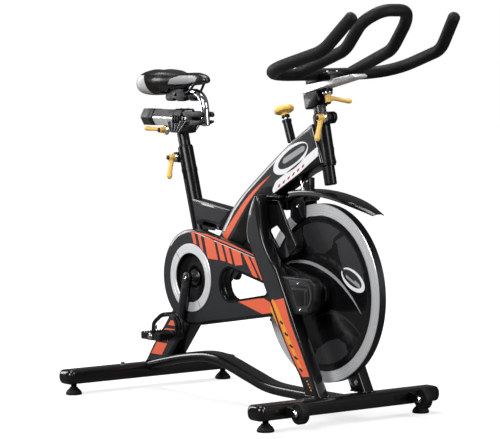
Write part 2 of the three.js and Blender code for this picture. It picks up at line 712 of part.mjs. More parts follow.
const pillarRadius = 12.3;
const pillarPath = bentPath([at(-163, 0, 775), at(-172, 0, 872), at(-286, 0, 872)], [76]);
const pillar = sweep(circleShape(pillarRadius), pillarPath, 18, 5);
const tiltAt = at(-274, 0, 872);
const tiltDrum = rod(at(tiltAt.x, -15, tiltAt.z), at(tiltAt.x, 15, tiltAt.z), 15, 16);
const pillarBody = join(pillar, tiltDrum);
add("seat_pillar", pillarBody, chrome);

function railFork() {
  const block = railBar(
    [[-22, -20], [22, -20], [24, 0], [20, 20], [-20, 20], [-24, 0]], rail.frontX + clearance, -150,
  );
  const throat = box(-200, -140, -pillarRadius - 1, pillarRadius + 1, 760, 840);
  const slot = box(-215, -140, -40, 40, rail.z - 4, rail.z + 4);
  return cut(block, throat, slot);
}
add("seat_rail_fork", fit(railFork(), pillar), plastic);

function saddleClamp() {
  const cheeks = [-1, 1].map((side) => {
    const low = side < 0 ? -30 : 15.4;
    const cheek = [[-315, 848], [-232, 848], [-224, 860], [-238, 884], [-310, 884], [-323, 860]];
    return plate(outline(cheek), low, low + 14.6, 3);
  });
  const bridge = box(-314, -298, -20, 20, 856, 880);
  return join(...cheeks, bridge);
}
const saddleRail = (side, radius = 3.6) => {
  const y = side * 22;
  const path = bentPath(
    [at(-392, side * 30, 884), at(-362, y, 872), at(-220, y, 872), at(-190, side * 16, 903)], [16, 16],
  );
  return sweep(circleShape(radius), path, 14, 3);
};
const rails = join(saddleRail(-1), saddleRail(1), rod(at(-191, -18, 902.5), at(-191, 18, 902.5), 3.6, 8));
add("saddle_rails", rails, chrome);
const railRooms = [-1, 1].map((side) => saddleRail(side, 4.1));
add("saddle_clamp", cut(saddleClamp(), ...railRooms), black);

// Closed loft through rings of equal length, each ring a list of points.
function loft(rings) {
  const count = rings[0].length;
  const positions = rings.flat().flatMap((p) => [p.x, p.y, p.z]);
  const index = [];
  for (let r = 0; r < rings.length - 1; r++)
    for (let i = 0; i < count; i++) {
      const a = r * count + i;
      const b = r * count + ((i + 1) % count);
      index.push(a, b, a + count, b, b + count, a + count);
    }
  const last = (rings.length - 1) * count;
  for (let i = 1; i < count - 1; i++) index.push(0, i + 1, i, last, last + i, last + i + 1);
  const geometry = new THREE.BufferGeometry();
  geometry.setAttribute("position", new THREE.Float32BufferAttribute(positions, 3));
  geometry.setIndex(index);
  return geometry;
}

// Saddle stations: x, half width, height of the top, height of the underside.
const saddleStations = [
  [-412, 60, 922, 872], [-402, 79, 932, 867], [-372, 86, 940, 865], [-335, 75, 938, 867],
  [-300, 53, 934, 877],
  [-260, 34, 931, 889], [-210, 25, 932, 894], [-165, 20, 929, 897], [-145, 12, 918, 901],
];
// Room under the saddle for the clamp and the rails.
const saddleHollow = [[-374, 850], [-228, 850], [-228, 890], [-374, 890]];
function saddle() {
  const sidesCount = 12;
  const rings = saddleStations.map(([x, half, top, bottom]) =>
    Array.from({ length: sidesCount }, (_, i) => {
      const angle = (2 * Math.PI * i) / sidesCount;
      const y = half * Math.cos(angle);
      return at(x, y, (top + bottom) / 2 + ((top - bottom) / 2) * Math.sin(angle));
    }));
  return loft(rings);
}
add("saddle", fit(cut(saddle(), plate(outline(saddleHollow), -34, 34)), rails), foam);

// ---- handlebar: post, tilted slide, bars ----
const rise = THREE.MathUtils.degToRad(barRail.riseDeg);
// A point measured along and above the tilted handlebar slide.
const onRail = (along, y, above) =>
  at(
    barRail.x + along * Math.cos(rise) - above * Math.sin(rise), y,
    barRail.z + along * Math.sin(rise) + above * Math.cos(rise),
  );
const onRailSolid = (geometry) => geometry.rotateY(-rise).translate(barRail.x, 0, barRail.z);

const postHeadBlank = onRailSolid(box(0, 64, -21, 21, -44, -clearance));
const postTop = alongLine(headLine, 858);
const barPost = join(
  rod(alongLine(headLine, 636), postTop, postRadius, 28), postHeadBlank,
  onRailSolid(box(60, 92, -12, 12, -9, -clearance)),
);
const barScrewAt = onRail(80, 0, 0);
const barScrewAxis = at(Math.sin(rise), 0, -Math.cos(rise));
const alongScrew = (distance) => barScrewAt.clone().addScaledVector(barScrewAxis, distance);
add("handlebar_post", cut(barPost, rod(alongScrew(-20), alongScrew(40), 4.6, 12)), black);

const railSide = outline([
  [0, 0.4], [barRail.length, 0.4], [barRail.length + 2, 5], [barRail.length - 6, 11], [4, 24], [0, 22],
]);
const railBlank = plate(railSide, -barRail.halfWidth, barRail.halfWidth, 2);
const railGroove = box(12, barRail.length - 20, -5, 5, -2, 7);
add("handlebar_slide", onRailSolid(cut(railBlank, railGroove)), chrome);

const nutHead = rod(alongScrew(-6), alongScrew(-1), 4.6, 12); // turns in the slide's groove
const bars = (() => {
  const half = [at(371, 0, 932), at(371, -232, 932), at(618, -201, 997), at(707, -172, 1089)];
  const mirrored = half.map((p) => at(p.x, -p.y, p.z)).reverse();
  const outer = sweep(
    circleShape(barTube), bentPath([...mirrored.slice(0, 3), ...half.slice(1)], [40, 70, 70, 40]), 36,
    5,
  );
  const loopHalf = [at(372, -92, 934), at(560, -80, 998), at(622, -76, 1070), at(664, -42, 1101)];
  const loopMirror = loopHalf.map((p) => at(p.x, -p.y, p.z)).reverse();
  const loopPath = bentPath([...loopHalf, ...loopMirror], [40, 38, 34, 34, 38, 40]);
  const loop = sweep(circleShape(barTube), loopPath, 30, 5);
  const clampTop = onRailSolid(box(24, 132, -26, 26, 12, 42));
  const slide = onRailSolid(plate(railSide, -40, 40));
  return fit(join(outer, loop, clampTop), slide);
})();
add("handlebar", bars, foam);

// ---- clamp levers ----
// A quick clamp lever: chrome cup, hub, screw through the clamp and an arm that stands off outwards.
function clampLever(screwLength, reach = 62) {
  const cup = rod(at(0, 0, 0), at(0, 0, 9), 15, 16);
  const hub = rod(at(0, 0, 8), at(0, 0, 28), 9.5, 12);
  const cap = rod(at(0, 0, 27), at(0, 0, 33), 5, 8);
  const screw = rod(at(0, 0, -screwLength), at(0, 0, 1), 4, 8);
  const arm = rod(at(4, 0, 18), at(reach, 0, 34), 7.5, 8, 5.5);
  return join(cup, hub, cap, screw, arm);
}

// Stands a lever on a face: outward is the screw's axis, towards is where its arm points.
function mountLever(geometry, point, outward, towards) {
  const z = outward.clone().normalize();
  const x = towards.clone().addScaledVector(z, -towards.dot(z)).normalize();
  const y = z.clone().cross(x);
  return geometry.applyMatrix4(new THREE.Matrix4().makeBasis(x, y, z).setPosition(point));
}

const outward = at(0, -1, 0);
const faceOf = (p, y) => at(p.x, y, p.z);
const headLever = mountLever(clampLever(26), faceOf(headLeverAt, -14 - clearance), outward, at(0.1, 0, -1));
add("head_clamp_lever", headLever, amber);
const seatLever = mountLever(clampLever(26), faceOf(seatLeverAt, -14 - clearance), outward, at(0.2, 0, -1));
add("seat_clamp_lever", seatLever, amber);
const slideLever = mountLever(
  clampLever(44), faceOf(seatLeverSlide, -24 - clearance), outward, at(-1, 0, 0.06),
);
add("seat_slide_lever", slideLever, amber);
const barLever = mountLever(clampLever(6), alongScrew(9.4 + clearance), barScrewAxis, at(0.6, 0.8, 0));
add("handlebar_slide_lever", join(barLever, nutHead, rod(alongScrew(-3), alongScrew(14), 4, 10)), amber);

export default bike;
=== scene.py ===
# Looks of the indoor cycle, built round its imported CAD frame.
import json
import math
import bpy
import bmesh
from mathutils import Matrix, Vector


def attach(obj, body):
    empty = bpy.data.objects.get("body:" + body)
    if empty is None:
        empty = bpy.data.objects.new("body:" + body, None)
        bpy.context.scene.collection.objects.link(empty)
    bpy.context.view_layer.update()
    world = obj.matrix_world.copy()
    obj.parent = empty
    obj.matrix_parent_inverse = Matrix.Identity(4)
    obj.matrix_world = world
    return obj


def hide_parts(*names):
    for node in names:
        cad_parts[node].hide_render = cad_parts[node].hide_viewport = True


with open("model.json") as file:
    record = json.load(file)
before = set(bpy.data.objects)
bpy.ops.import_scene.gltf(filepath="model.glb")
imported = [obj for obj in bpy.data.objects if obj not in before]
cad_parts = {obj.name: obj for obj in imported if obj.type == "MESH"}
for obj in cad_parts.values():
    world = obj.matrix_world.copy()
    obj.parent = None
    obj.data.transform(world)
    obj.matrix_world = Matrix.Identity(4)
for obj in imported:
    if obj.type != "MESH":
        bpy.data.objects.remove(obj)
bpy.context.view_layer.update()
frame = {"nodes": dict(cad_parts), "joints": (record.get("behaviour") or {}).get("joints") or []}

# ---------- places taken from the frame ----------
joints = {j["name"]: j for j in frame["joints"]}
MM = 0.001
# sizes below are in the millimetres of a side drawing: x towards the handlebar, z up from the floor
CRANK_X, CRANK_Z = -137.5, 351.2
WHEEL_X, WHEEL_Z = 373, 342
ORIGIN = Vector(joints["crank_spin"]["pos_m"]) - Vector((CRANK_X, 0, CRANK_Z)) * MM
# y of the flat faces on the rider's right that carry graphics
BEAM_FACE, LINK_FACE, GUARD_FACE, LEG_FACE, COVER_FACE = -28, -18, -75, -98, -15.9
PRINT = 0.3  # how far a print stands off the panel under it


def at(x, y, z):
    """A point of the drawing, in millimetres, as a point of the frame, in metres."""
    return ORIGIN + Vector((x, y, z)) * MM


def joint_at(name):
    return Vector(joints[name]["pos_m"])


def joint_axis(name):
    return Vector(joints[name]["axis"]).normalized()


CRANK = joint_at("crank_spin")
WHEEL = joint_at("flywheel_spin")
BRAKE_AT = joint_at("brake_knob_turn")
BRAKE_DOWN = joint_axis("brake_push")
SEAT_UP = joint_axis("seat_post_slide")
HEAD_UP = joint_axis("handlebar_post_slide")
RAIL_ALONG = joint_axis("handlebar_rail_slide")
RAIL_UP = Vector((-RAIL_ALONG.z, 0, RAIL_ALONG.x))
RAIL_AT = at(306, 0, 877)
SIDES = (("right", -1), ("left", 1))
AHEAD, ACROSS, UPRIGHT = Vector((1, 0, 0)), Vector((0, 1, 0)), Vector((0, 0, 1))


def on_line(x, z, axis, height):
    """The point of a leaning tube's axis at a height of the drawing."""
    start = at(x, 0, z)
    return start + axis * ((ORIGIN.z + height * MM - start.z) / axis.z)


def seat_point(height):
    return on_line(-153, 351, SEAT_UP, height)


def head_point(height):
    return on_line(401, 635, HEAD_UP, height)


def on_rail(along, y, above):
    return RAIL_AT + (RAIL_ALONG * along + RAIL_UP * above + ACROSS * y) * MM


# ---------- camera, light and floor ----------
CAMERA_ANGLES = (52.66, 4.19, -0.318)  # degrees round from the side, upwards, and of roll
CAMERA_PLACE = (5799.25, -4392.56, 1053.32)
CAMERA_LENS, CAMERA_SENSOR = 186.84, 36


def make_camera():
    """A long lens, a little above the cranks, seeing the bike from the front right."""
    turn, tilt, roll = (math.radians(a) for a in CAMERA_ANGLES)
    back = Vector((math.sin(turn) * math.cos(tilt), -math.cos(turn) * math.cos(tilt), math.sin(tilt)))
    level = Vector((math.cos(turn), math.sin(turn), 0))
    upright = back.cross(level)
    right = level * math.cos(roll) + upright * math.sin(roll)
    up = upright * math.cos(roll) - level * math.sin(roll)
    data = bpy.data.cameras.new("camera")
    data.lens = CAMERA_LENS
    data.sensor_width = CAMERA_SENSOR
    data.clip_end = 50
    camera = bpy.data.objects.new("camera", data)
    bpy.context.scene.collection.objects.link(camera)
    aim = Matrix((right, up, back)).transposed().to_4x4()
    camera.matrix_world = Matrix.Translation(at(*CAMERA_PLACE)) @ aim
    bpy.context.scene.camera = camera


def area_light(name, place, target, size, power, tall=None):
    data = bpy.data.lights.new(name, "AREA")
    data.shape = "RECTANGLE"
    data.size = size
    data.size_y = tall or size
    data.energy = power
    light = bpy.data.objects.new(name, data)
    bpy.context.scene.collection.objects.link(light)
    light.location = place
    light.rotation_euler = (Vector(target) - Vector(place)).to_track_quat("-Z", "Y").to_euler()
    return light


def make_world():
    """White behind the bike for the camera, and dim for everything the bike reflects."""
    world = bpy.data.worlds.new("studio")
    bpy.context.scene.world = world
    world.use_nodes = True
    tree = world.node_tree
    background = tree.nodes["Background"]
    rays = tree.nodes.new("ShaderNodeLightPath")
    strength = tree.nodes.new("ShaderNodeMapRange")
    strength.inputs["To Min"].default_value = 0.1
    strength.inputs["To Max"].default_value = 1.0
    background.inputs["Color"].default_value = (1, 1, 1, 1)
    tree.links.new(rays.outputs["Is Camera Ray"], strength.inputs["Value"])
    tree.links.new(strength.outputs["Result"], background.inputs["Strength"])


def make_floor():
    bm = bmesh.new()
    bmesh.ops.create_grid(bm, x_segments=1, y_segments=1, size=14)
    mesh = bpy.data.meshes.new("floor")
    bm.to_mesh(mesh)
    bm.free()
    floor = bpy.data.objects.new("floor", mesh)
    bpy.context.scene.collection.objects.link(floor)
    floor.data.materials.append(FLOOR)


# ---------- materials ----------
class Finish:
    """A procedural material: base colour with slow variation, varied roughness, and fine bump."""

    def __init__(self, name, color, roughness, metallic=0.0, coat=0.0, coat_roughness=0.05, specular=0.5):
        self.material = bpy.data.materials.new(name)
        self.material.use_nodes = True
        self.tree = self.material.node_tree
        self.shader = self.tree.nodes["Principled BSDF"]
        self.shader.inputs["Base Color"].default_value = (*color, 1)
        self.shader.inputs["Roughness"].default_value = roughness
        self.shader.inputs["Metallic"].default_value = metallic
        self.shader.inputs["Coat Weight"].default_value = coat
        self.shader.inputs["Coat Roughness"].default_value = coat_roughness
        self.shader.inputs["Specular IOR Level"].default_value = specular
        self.color, self.roughness = color, roughness

    def node(self, kind, **inputs):
        node = self.tree.nodes.new(kind)
        for key, value in inputs.items():
            node.inputs[key.replace("_", " ")].default_value = value
        return node

    def link(self, source, target):
        self.tree.links.new(source, target)

    def coordinates(self, scale=(1, 1, 1)):
        source = self.node("ShaderNodeTexCoord")
        mapping = self.node("ShaderNodeMapping")
        mapping.inputs["Scale"].default_value = scale
        self.link(source.outputs["Object"], mapping.inputs["Vector"])
        return mapping.outputs["Vector"]

    def noise(self, size_mm, detail=3.0, stretch=(1, 1, 1)):
        """Noise whose features are about size_mm across, stretched along an axis where stretch is below 1."""
        node = self.node("ShaderNodeTexNoise", Scale=1000.0 / size_mm, Detail=detail, Roughness=0.55)
        self.link(self.coordinates(stretch), node.inputs["Vector"])
        return node.outputs["Fac"]

    def remap(self, value, low, high, from_low=0.35, from_high=0.65):
        node = self.node("ShaderNodeMapRange", From_Min=from_low, From_Max=from_high, To_Min=low, To_Max=high)
        self.link(value, node.inputs["Value"])
        return node.outputs["Result"]

    def vary_color(self, size_mm, amount, stretch=(1, 1, 1)):
        """Slow light and dark patches, each side of the base colour."""
        mix = self.tree.nodes.new("ShaderNodeMix")
        mix.data_type = "RGBA"
        mix.inputs["A"].default_value = (*[c * (1 - amount) for c in self.color], 1)
        mix.inputs["B"].default_value = (*[min(1, c * (1 + amount)) for c in self.color], 1)
        self.link(self.noise(size_mm, 4.0, stretch), mix.inputs["Factor"])
        self.link(mix.outputs["Result"], self.shader.inputs["Base Color"])
        return self

    def vary_roughness(self, size_mm, amount, stretch=(1, 1, 1)):
        low, high = max(0.02, self.roughness - amount), self.roughness + amount
        self.link(self.remap(self.noise(size_mm, 5.0, stretch), low, high), self.shader.inputs["Roughness"])
        return self

    def bump(self, value, depth_mm, strength=1.0):
        node = self.node("ShaderNodeBump", Strength=strength, Distance=depth_mm * MM)
        last = self.shader.inputs["Normal"]
        if last.is_linked:
            self.link(last.links[0].from_socket, node.inputs["Normal"])
        self.link(value, node.inputs["Height"])
        self.link(node.outputs["Normal"], self.shader.inputs["Normal"])
        return self


def powder_coat(name, color, roughness, coat):
    finish = Finish(name, color, roughness, coat=coat, coat_roughness=0.05, specular=0.15)
    finish.shader.inputs["Coat IOR"].default_value = 1.7
    finish.vary_color(70, 0.12).vary_roughness(25, 0.05)
    return finish.bump(finish.noise(1.6, 2.0), 0.03, 0.2).material


def moulded(name, color, roughness, grain_mm=0.8, depth=0.05, specular=0.5):
    finish = Finish(name, color, roughness, specular=specular)
    finish.vary_color(45, 0.15).vary_roughness(18, 0.07)
    return finish.bump(finish.noise(grain_mm, 3.0), depth, 0.6).material


def plated(name, color, roughness, metallic=1.0):
    finish = Finish(name, color, roughness, metallic=metallic)
    finish.vary_color(60, 0.04).vary_roughness(12, 0.03)
    return finish.bump(finish.noise(30, 2.0), 0.05, 0.2).material


def brushed(name, color, roughness, stretch):
    """Metal with fine lines running along the axis where stretch is small."""
    finish = Finish(name, color, roughness, metallic=1.0)
    finish.vary_color(50, 0.06).vary_roughness(1.2, 0.1, stretch)
    return finish.bump(finish.noise(0.7, 2.0, stretch), 0.03, 0.5).material


def turned_metal(name, centre, color, roughness):
    """Metal with fine rings round an axis that runs along y through centre."""
    finish = Finish(name, color, roughness, metallic=0.55)
    source = finish.node("ShaderNodeTexCoord")
    shift = finish.node("ShaderNodeVectorMath")
    shift.operation = "SUBTRACT"
    shift.inputs[1].default_value = (centre.x, 0, centre.z)
    finish.link(source.outputs["Object"], shift.inputs[0])
    flat = finish.node("ShaderNodeVectorMath")
    flat.operation = "MULTIPLY"
    flat.inputs[1].default_value = (1, 0, 1)
    finish.link(shift.outputs[0], flat.inputs[0])
    radius = finish.node("ShaderNodeVectorMath")
    radius.operation = "LENGTH"
    finish.link(flat.outputs[0], radius.inputs[0])
    rings = finish.node("ShaderNodeTexNoise", Scale=1100.0, Detail=3.0)
    rings.noise_dimensions = "1D"
    finish.link(radius.outputs["Value"], rings.inputs["W"])
    finish.link(finish.remap(rings.outputs["Fac"], roughness - 0.06, roughness + 0.1),
                finish.shader.inputs["Roughness"])
    finish.vary_color(80, 0.04)
    return finish.bump(rings.outputs["Fac"], 0.03, 0.5).material


def cell_foam(name, color):
    finish = Finish(name, color, 0.6, specular=0.22)
    cells = finish.node("ShaderNodeTexVoronoi", Scale=900.0)
    finish.link(finish.coordinates(), cells.inputs["Vector"])
    finish.shader.inputs["Sheen Weight"].default_value = 0.06
    finish.shader.inputs["Sheen Roughness"].default_value = 0.4
    finish.vary_color(35, 0.2).vary_roughness(9, 0.06)
    finish.bump(cells.outputs["Distance"], 0.12, 0.6)
    return finish.bump(finish.noise(14, 2.0), 0.35, 0.25).material


def vinyl(name, color, roughness):
    """Saddle cover: pebbled grain with fine creases."""
    finish = Finish(name, color, roughness, coat=0.15, coat_roughness=0.3, specular=0.5)
    pebbles = finish.node("ShaderNodeTexVoronoi", Scale=650.0)
    finish.link(finish.coordinates(), pebbles.inputs["Vector"])
    finish.vary_color(30, 0.18).vary_roughness(10, 0.06)
    finish.bump(pebbles.outputs["Distance"], 0.06, 0.3)
    return finish.bump(finish.noise(18, 3.0), 0.2, 0.2).material


def webbing(name, color):
    """Woven strap: two crossed sets of fine ribs."""
    finish = Finish(name, color, 0.8)
    ribs = []
    for direction in ("X", "Y"):
        wave = finish.node("ShaderNodeTexWave", Scale=260.0, Distortion=0.5)
        wave.bands_direction = direction
        finish.link(finish.coordinates(), wave.inputs["Vector"])
        ribs.append(wave.outputs["Fac"])
    weave = finish.node("ShaderNodeMath")
    weave.operation = "MULTIPLY"
    finish.link(ribs[0], weave.inputs[0])
    finish.link(ribs[1], weave.inputs[1])
    finish.vary_color(10, 0.2)
    return finish.bump(weave.outputs[0], 0.2, 0.7).material


def floor_material():
    """White paper under strong light and a glow for camera rays: it clips to white, except close under the
    piece, where the glow is turned down as a painted shadow.
    """
    finish = Finish("studio_floor", (0.4, 0.4, 0.4), 0.6, specular=0.0)
    finish.shader.inputs["Emission Color"].default_value = (1, 1, 1, 1)
    rays = finish.node("ShaderNodeLightPath")
    distance = finish.node("ShaderNodeVectorMath")
    distance.operation = "LENGTH"
    finish.link(finish.coordinates(), distance.inputs[0])
    # painted shadow: for the camera the glow is 0.7 within 0.8 m of the floor's middle, under the bike,
    # rising to full at 1.9 m
    painted_shadow_falloff = finish.node("ShaderNodeMapRange", From_Min=0.8, From_Max=1.9, To_Min=0.7, To_Max=1.0)
    finish.link(distance.outputs["Value"], painted_shadow_falloff.inputs["Value"])
    glow = finish.node("ShaderNodeMapRange", To_Min=0.03)
    finish.link(rays.outputs["Is Camera Ray"], glow.inputs["Value"])
    finish.link(painted_shadow_falloff.outputs["Result"], glow.inputs["To Max"])
    finish.link(glow.outputs["Result"], finish.shader.inputs["Emission Strength"])
    shade = finish.node("ShaderNodeMapRange", To_Min=0.1, To_Max=0.4)
    finish.link(rays.outputs["Is Camera Ray"], shade.inputs["Value"])
    finish.link(shade.outputs["Result"], finish.shader.inputs["Base Color"])
    return finish.material


def print_and_highlight_finish(name, color, roughness=0.32):
    """Printed or painted graphics, and painted highlight strips along edges, under the same clear coat as
    their panel.
    """
    finish = Finish(name, color, roughness, coat=0.3, coat_roughness=0.15)
    finish.vary_color(20, 0.05).vary_roughness(12, 0.04)
    return finish.bump(finish.noise(1.8, 2.0), 0.03, 0.3).material


FLOOR = floor_material()
BLACK = powder_coat("gloss_black", (0.003, 0.003, 0.0035), 0.36, 0.6)
SATIN = powder_coat("satin_black", (0.003, 0.003, 0.0035), 0.34, 0.15)
GRAPHITE = powder_coat("graphite_panel", (0.024, 0.025, 0.027), 0.45, 0.05)
GUARD = powder_coat("guard_graphite", (0.02, 0.021, 0.023), 0.45, 0.05)
PLASTIC = moulded("black_plastic", (0.004, 0.004, 0.0045), 0.4, specular=0.35)
GLOSS_PLASTIC = moulded("gloss_black_plastic", (0.004, 0.004, 0.0045), 0.14, 2.0, 0.02)
GREY_PLASTIC = moulded("grey_plastic", (0.03, 0.031, 0.033), 0.4, specular=0.4)
RUBBER = moulded("rubber", (0.005, 0.005, 0.005), 0.6, 0.6, 0.08, 0.25)
CHROME = plated("chrome", (0.82, 0.83, 0.85), 0.08)
POLISHED = plated("polished_slide", (0.84, 0.85, 0.86), 0.28, 0.45)
STEEL = plated("zinc_steel", (0.58, 0.59, 0.61), 0.26)
DARK_STEEL = plated("dark_steel", (0.05, 0.051, 0.054), 0.32)
RIM = turned_metal("turned_rim", WHEEL, (0.8, 0.81, 0.83), 0.26)
RING = turned_metal("brushed_ring", CRANK, (0.86, 0.87, 0.88), 0.34)
ALUMINIUM = brushed("brushed_aluminium", (0.72, 0.73, 0.75), 0.3, (0.03, 1, 1))
AMBER = moulded("amber_plastic", (0.92, 0.54, 0.12), 0.34, 1.2, 0.03)
FOAM = cell_foam("grip_foam", (0.004, 0.004, 0.0045))
VINYL = vinyl("saddle_vinyl", (0.004, 0.004, 0.0045), 0.3)
VINYL_SILVER = vinyl("saddle_vinyl_silver", (0.3, 0.305, 0.315), 0.4)
VINYL_WHITE = vinyl("saddle_vinyl_white", (0.5, 0.5, 0.51), 0.42)
VINYL_GREY = vinyl("saddle_vinyl_grey", (0.015, 0.0155, 0.017), 0.45)
STRAP = webbing("toe_strap", (0.012, 0.012, 0.012))
ORANGE = print_and_highlight_finish("orange_print", (0.82, 0.135, 0.06))
YELLOW = print_and_highlight_finish("yellow_print", (0.86, 0.36, 0.03))
# white and silver serve for prints and also for the painted highlight strips along the beam, link plate, leg
# and guard edges
WHITE = print_and_highlight_finish("white_print_and_painted_highlight", (0.8, 0.81, 0.82))
SILVER = print_and_highlight_finish("silver_print_and_painted_highlight", (0.3, 0.31, 0.32))
GREY = print_and_highlight_finish("grey_print", (0.019, 0.0195, 0.021))
DARK_GREY = print_and_highlight_finish("dark_grey_print", (0.011, 0.0115, 0.012))
RED = print_and_highlight_finish("red_print", (0.42, 0.04, 0.035))
LINING = moulded("matt_black", (0.002, 0.002, 0.002), 0.7, specular=0.2)


# ---------- mesh helpers ----------
def object_of(name, bm, material, smooth=32):
    """An object from a bmesh, shaded smooth except at edges sharper than the angle."""
    bmesh.ops.remove_doubles(bm, verts=bm.verts, dist=1e-6)
    bmesh.ops.recalc_face_normals(bm, faces=bm.faces)
    for face in bm.faces:
        face.smooth = True
    for edge in bm.edges:
        edge.smooth = edge.is_manifold and edge.calc_face_angle(math.pi) < math.radians(smooth)
    mesh = bpy.data.meshes.new(name)
    bm.to_mesh(mesh)
    bm.free()
    mesh.materials.append(material)
    made = bpy.data.objects.new(name, mesh)
    bpy.context.scene.collection.objects.link(made)
    return made


def loft(name, rings, material, closed=False, capped=True, smooth=32):
    """A skin through rings of points of equal length, closed end to end or capped."""
    bm = bmesh.new()
    made = [[bm.verts.new(p) for p in ring] for ring in rings]
    count = len(rings[0])
    pairs = list(zip(made, made[1:] + ([made[0]] if closed else [])))
    for low, high in (pairs if closed else pairs[:len(made) - 1]):
        for i in range(count):
            j = (i + 1) % count
            bm.faces.new((low[i], low[j], high[j], high[i]))
    if capped and not closed:
        bm.faces.new(made[0][::-1])
        bm.faces.new(made[-1])
    return object_of(name, bm, material, smooth)


def basis(axis):
    """Two directions square to an axis."""
    axis = axis.normalized()
    first = axis.cross(UPRIGHT if abs(axis.z) < 0.9 else AHEAD).normalized()
    return first, axis.cross(first)


def turned(name, profile, centre, axis, material, steps=64, smooth=32, lobes=None):
    """A turned piece from (radius, distance along the axis) in mm; it ends on the axis, or is a ring."""
    first, second = basis(axis)
    ring = profile[0] == profile[-1]
    rings = []
    for radius, along in (profile[:-1] if ring else profile):
        points = []
        for i in range(steps):
            angle = 2 * math.pi * i / steps
            r = max(radius, 0.001) * (lobes(angle, radius) if lobes else 1)
            outward = first * math.cos(angle) + second * math.sin(angle)
            points.append(centre + outward * r * MM + axis * along * MM)
        rings.append(points)
    return loft(name, rings, material, closed=ring, smooth=smooth)


def fillet(points, radius, steps=4, closed=True):
    """Rounds the corners of a polygon or line; radius is one number or one for each corner."""
    points = [Vector(p) for p in points]
    count = len(points)
    rounded = []
    for i, corner in enumerate(points):
        r = radius[i] if hasattr(radius, "__len__") else radius
        if r <= 0 or (not closed and i in (0, count - 1)):
            rounded.append(corner)
            continue
        before = points[i - 1] - corner
        after = points[(i + 1) % count] - corner
        turn = math.pi - before.angle(after)
        if turn < 0.02:
            rounded.append(corner)
            continue
        cut = min(r * math.tan(turn / 2), 0.49 * before.length, 0.49 * after.length)
        start = corner + before.normalized() * cut
        end = corner + after.normalized() * cut
        for k in range(steps + 1):
            t = k / steps
            rounded.append(start * (1 - t) ** 2 + corner * 2 * t * (1 - t) + end * t * t)
    return rounded


def smooth_line(points, steps=8):
    """A Catmull-Rom line through points."""
    points = [Vector(p) for p in points]
    ends = [points[0] * 2 - points[1], *points, points[-1] * 2 - points[-2]]
    line = []
    for a, b, c, d in zip(ends, ends[1:], ends[2:], ends[3:]):
        for k in range(steps):
            t = k / steps
            line.append((b * 2 + (c - a) * t + (a * 2 - b * 5 + c * 4 - d) * t * t
                         + (b * 3 - a - c * 3 + d) * t ** 3) / 2)
    return [*line, points[-1]]


def sweep(name, centres, section, material, up=None, smooth=32, scales=None, capped=True):
    """A section of (across, upwards) points in millimetres carried along a line; up fixes its tilt."""
    centres = [Vector(c) for c in centres]
    tangents = [(b - a).normalized() for a, b in zip(centres, centres[1:])]
    tangents = [tangents[0], *[(a + b).normalized() for a, b in zip(tangents, tangents[1:])], tangents[-1]]
    across = up.cross(tangents[0]).normalized() if up else basis(tangents[0])[0]
    rings = []
    for i, (centre, tangent) in enumerate(zip(centres, tangents)):
        if up:
            across = up.cross(tangent).normalized()
        else:
            across = (across - tangent * across.dot(tangent)).normalized()
        above = tangent.cross(across)
        scale = scales[i] if scales else 1
        rings.append([centre + (across * a + above * b) * scale * MM for a, b in section])
    return loft(name, rings, material, capped=capped, smooth=smooth)


def circle(radius, steps=20):
    angles = [2 * math.pi * i / steps for i in range(steps)]
    return [(radius * math.cos(a), radius * math.sin(a)) for a in angles]


def rounded_rectangle(width, height, radius, steps=5):
    w, h = width / 2, height / 2
    corners = [(w, -h), (w, h), (-w, h), (-w, -h)]
    return fillet(corners, radius, steps)


def tube(name, centres, radius, material, steps=20, dome=0.35):
    """A round bar along a line, with eased ends."""
    centres = [Vector(c) for c in centres]
    reach = radius * dome * MM * 1.1
    inner = [c for c in centres[1:-1] if (c - centres[0]).length > reach and (c - centres[-1]).length > reach]
    centres = [centres[0], *inner, centres[-1]]
    eased, scales = list(centres), [1.0] * len(centres)
    for end, direction in ((0, centres[0] - centres[1]), (-1, centres[-1] - centres[-2])):
        reach = radius * dome * MM
        tip = centres[end] - direction.normalized() * reach
        extra = [(tip + direction.normalized() * reach * math.sin(a), 1 - dome * (1 - math.cos(a)))
                 for a in (math.radians(d) for d in (0, 25, 50, 75, 90))]
        if end == 0:
            eased = [p for p, _ in extra[::-1]] + eased[1:]
            scales = [s for _, s in extra[::-1]] + scales[1:]
        else:
            eased = eased[:-1] + [p for p, _ in extra]
            scales = scales[:-1] + [s for _, s in extra]
    return sweep(name, eased, circle(radius, steps), material, scales=scales)


def extruded(name, outlines, thickness, ease):
    """A flat shape, its outline first and then its holes, made thick, with eased edges."""
    curve = bpy.data.curves.new(name, "CURVE")
    curve.dimensions = "2D"
    curve.fill_mode = "BOTH"
    curve.extrude = max(thickness / 2 - ease, 0.01) * MM
    curve.bevel_depth = ease * MM
    curve.bevel_resolution = 2
    curve.offset = -ease * MM
    for points in outlines:
        spline = curve.splines.new("POLY")
        spline.points.add(len(points) - 1)
        for target, p in zip(spline.points, points):
            target.co = (p[0] * MM, p[1] * MM, 0, 1)
        spline.use_cyclic_u = True
    holder = bpy.data.objects.new(name + "_curve", curve)
    bpy.context.scene.collection.objects.link(holder)
    bpy.context.view_layer.update()
    flat = holder.evaluated_get(bpy.context.evaluated_depsgraph_get()).to_mesh()
    bm = bmesh.new()
    bm.from_mesh(flat)
    holder.to_mesh_clear()
    bpy.data.objects.remove(holder)
    return bm


def plate(name, outline, low, high, material, ease=0.0, holes=(), smooth=40):
    """A plate drawn in x and z, in millimetres, from y = low to y = high, with eased edges and holes."""
    bm = extruded(name, (outline, *holes), high - low, ease)
    middle = (low + high) / 2
    for vertex in bm.verts:
        x, z, depth = vertex.co
        vertex.co = ORIGIN + Vector((x, middle * MM - depth, z))
    return object_of(name, bm, material, smooth)


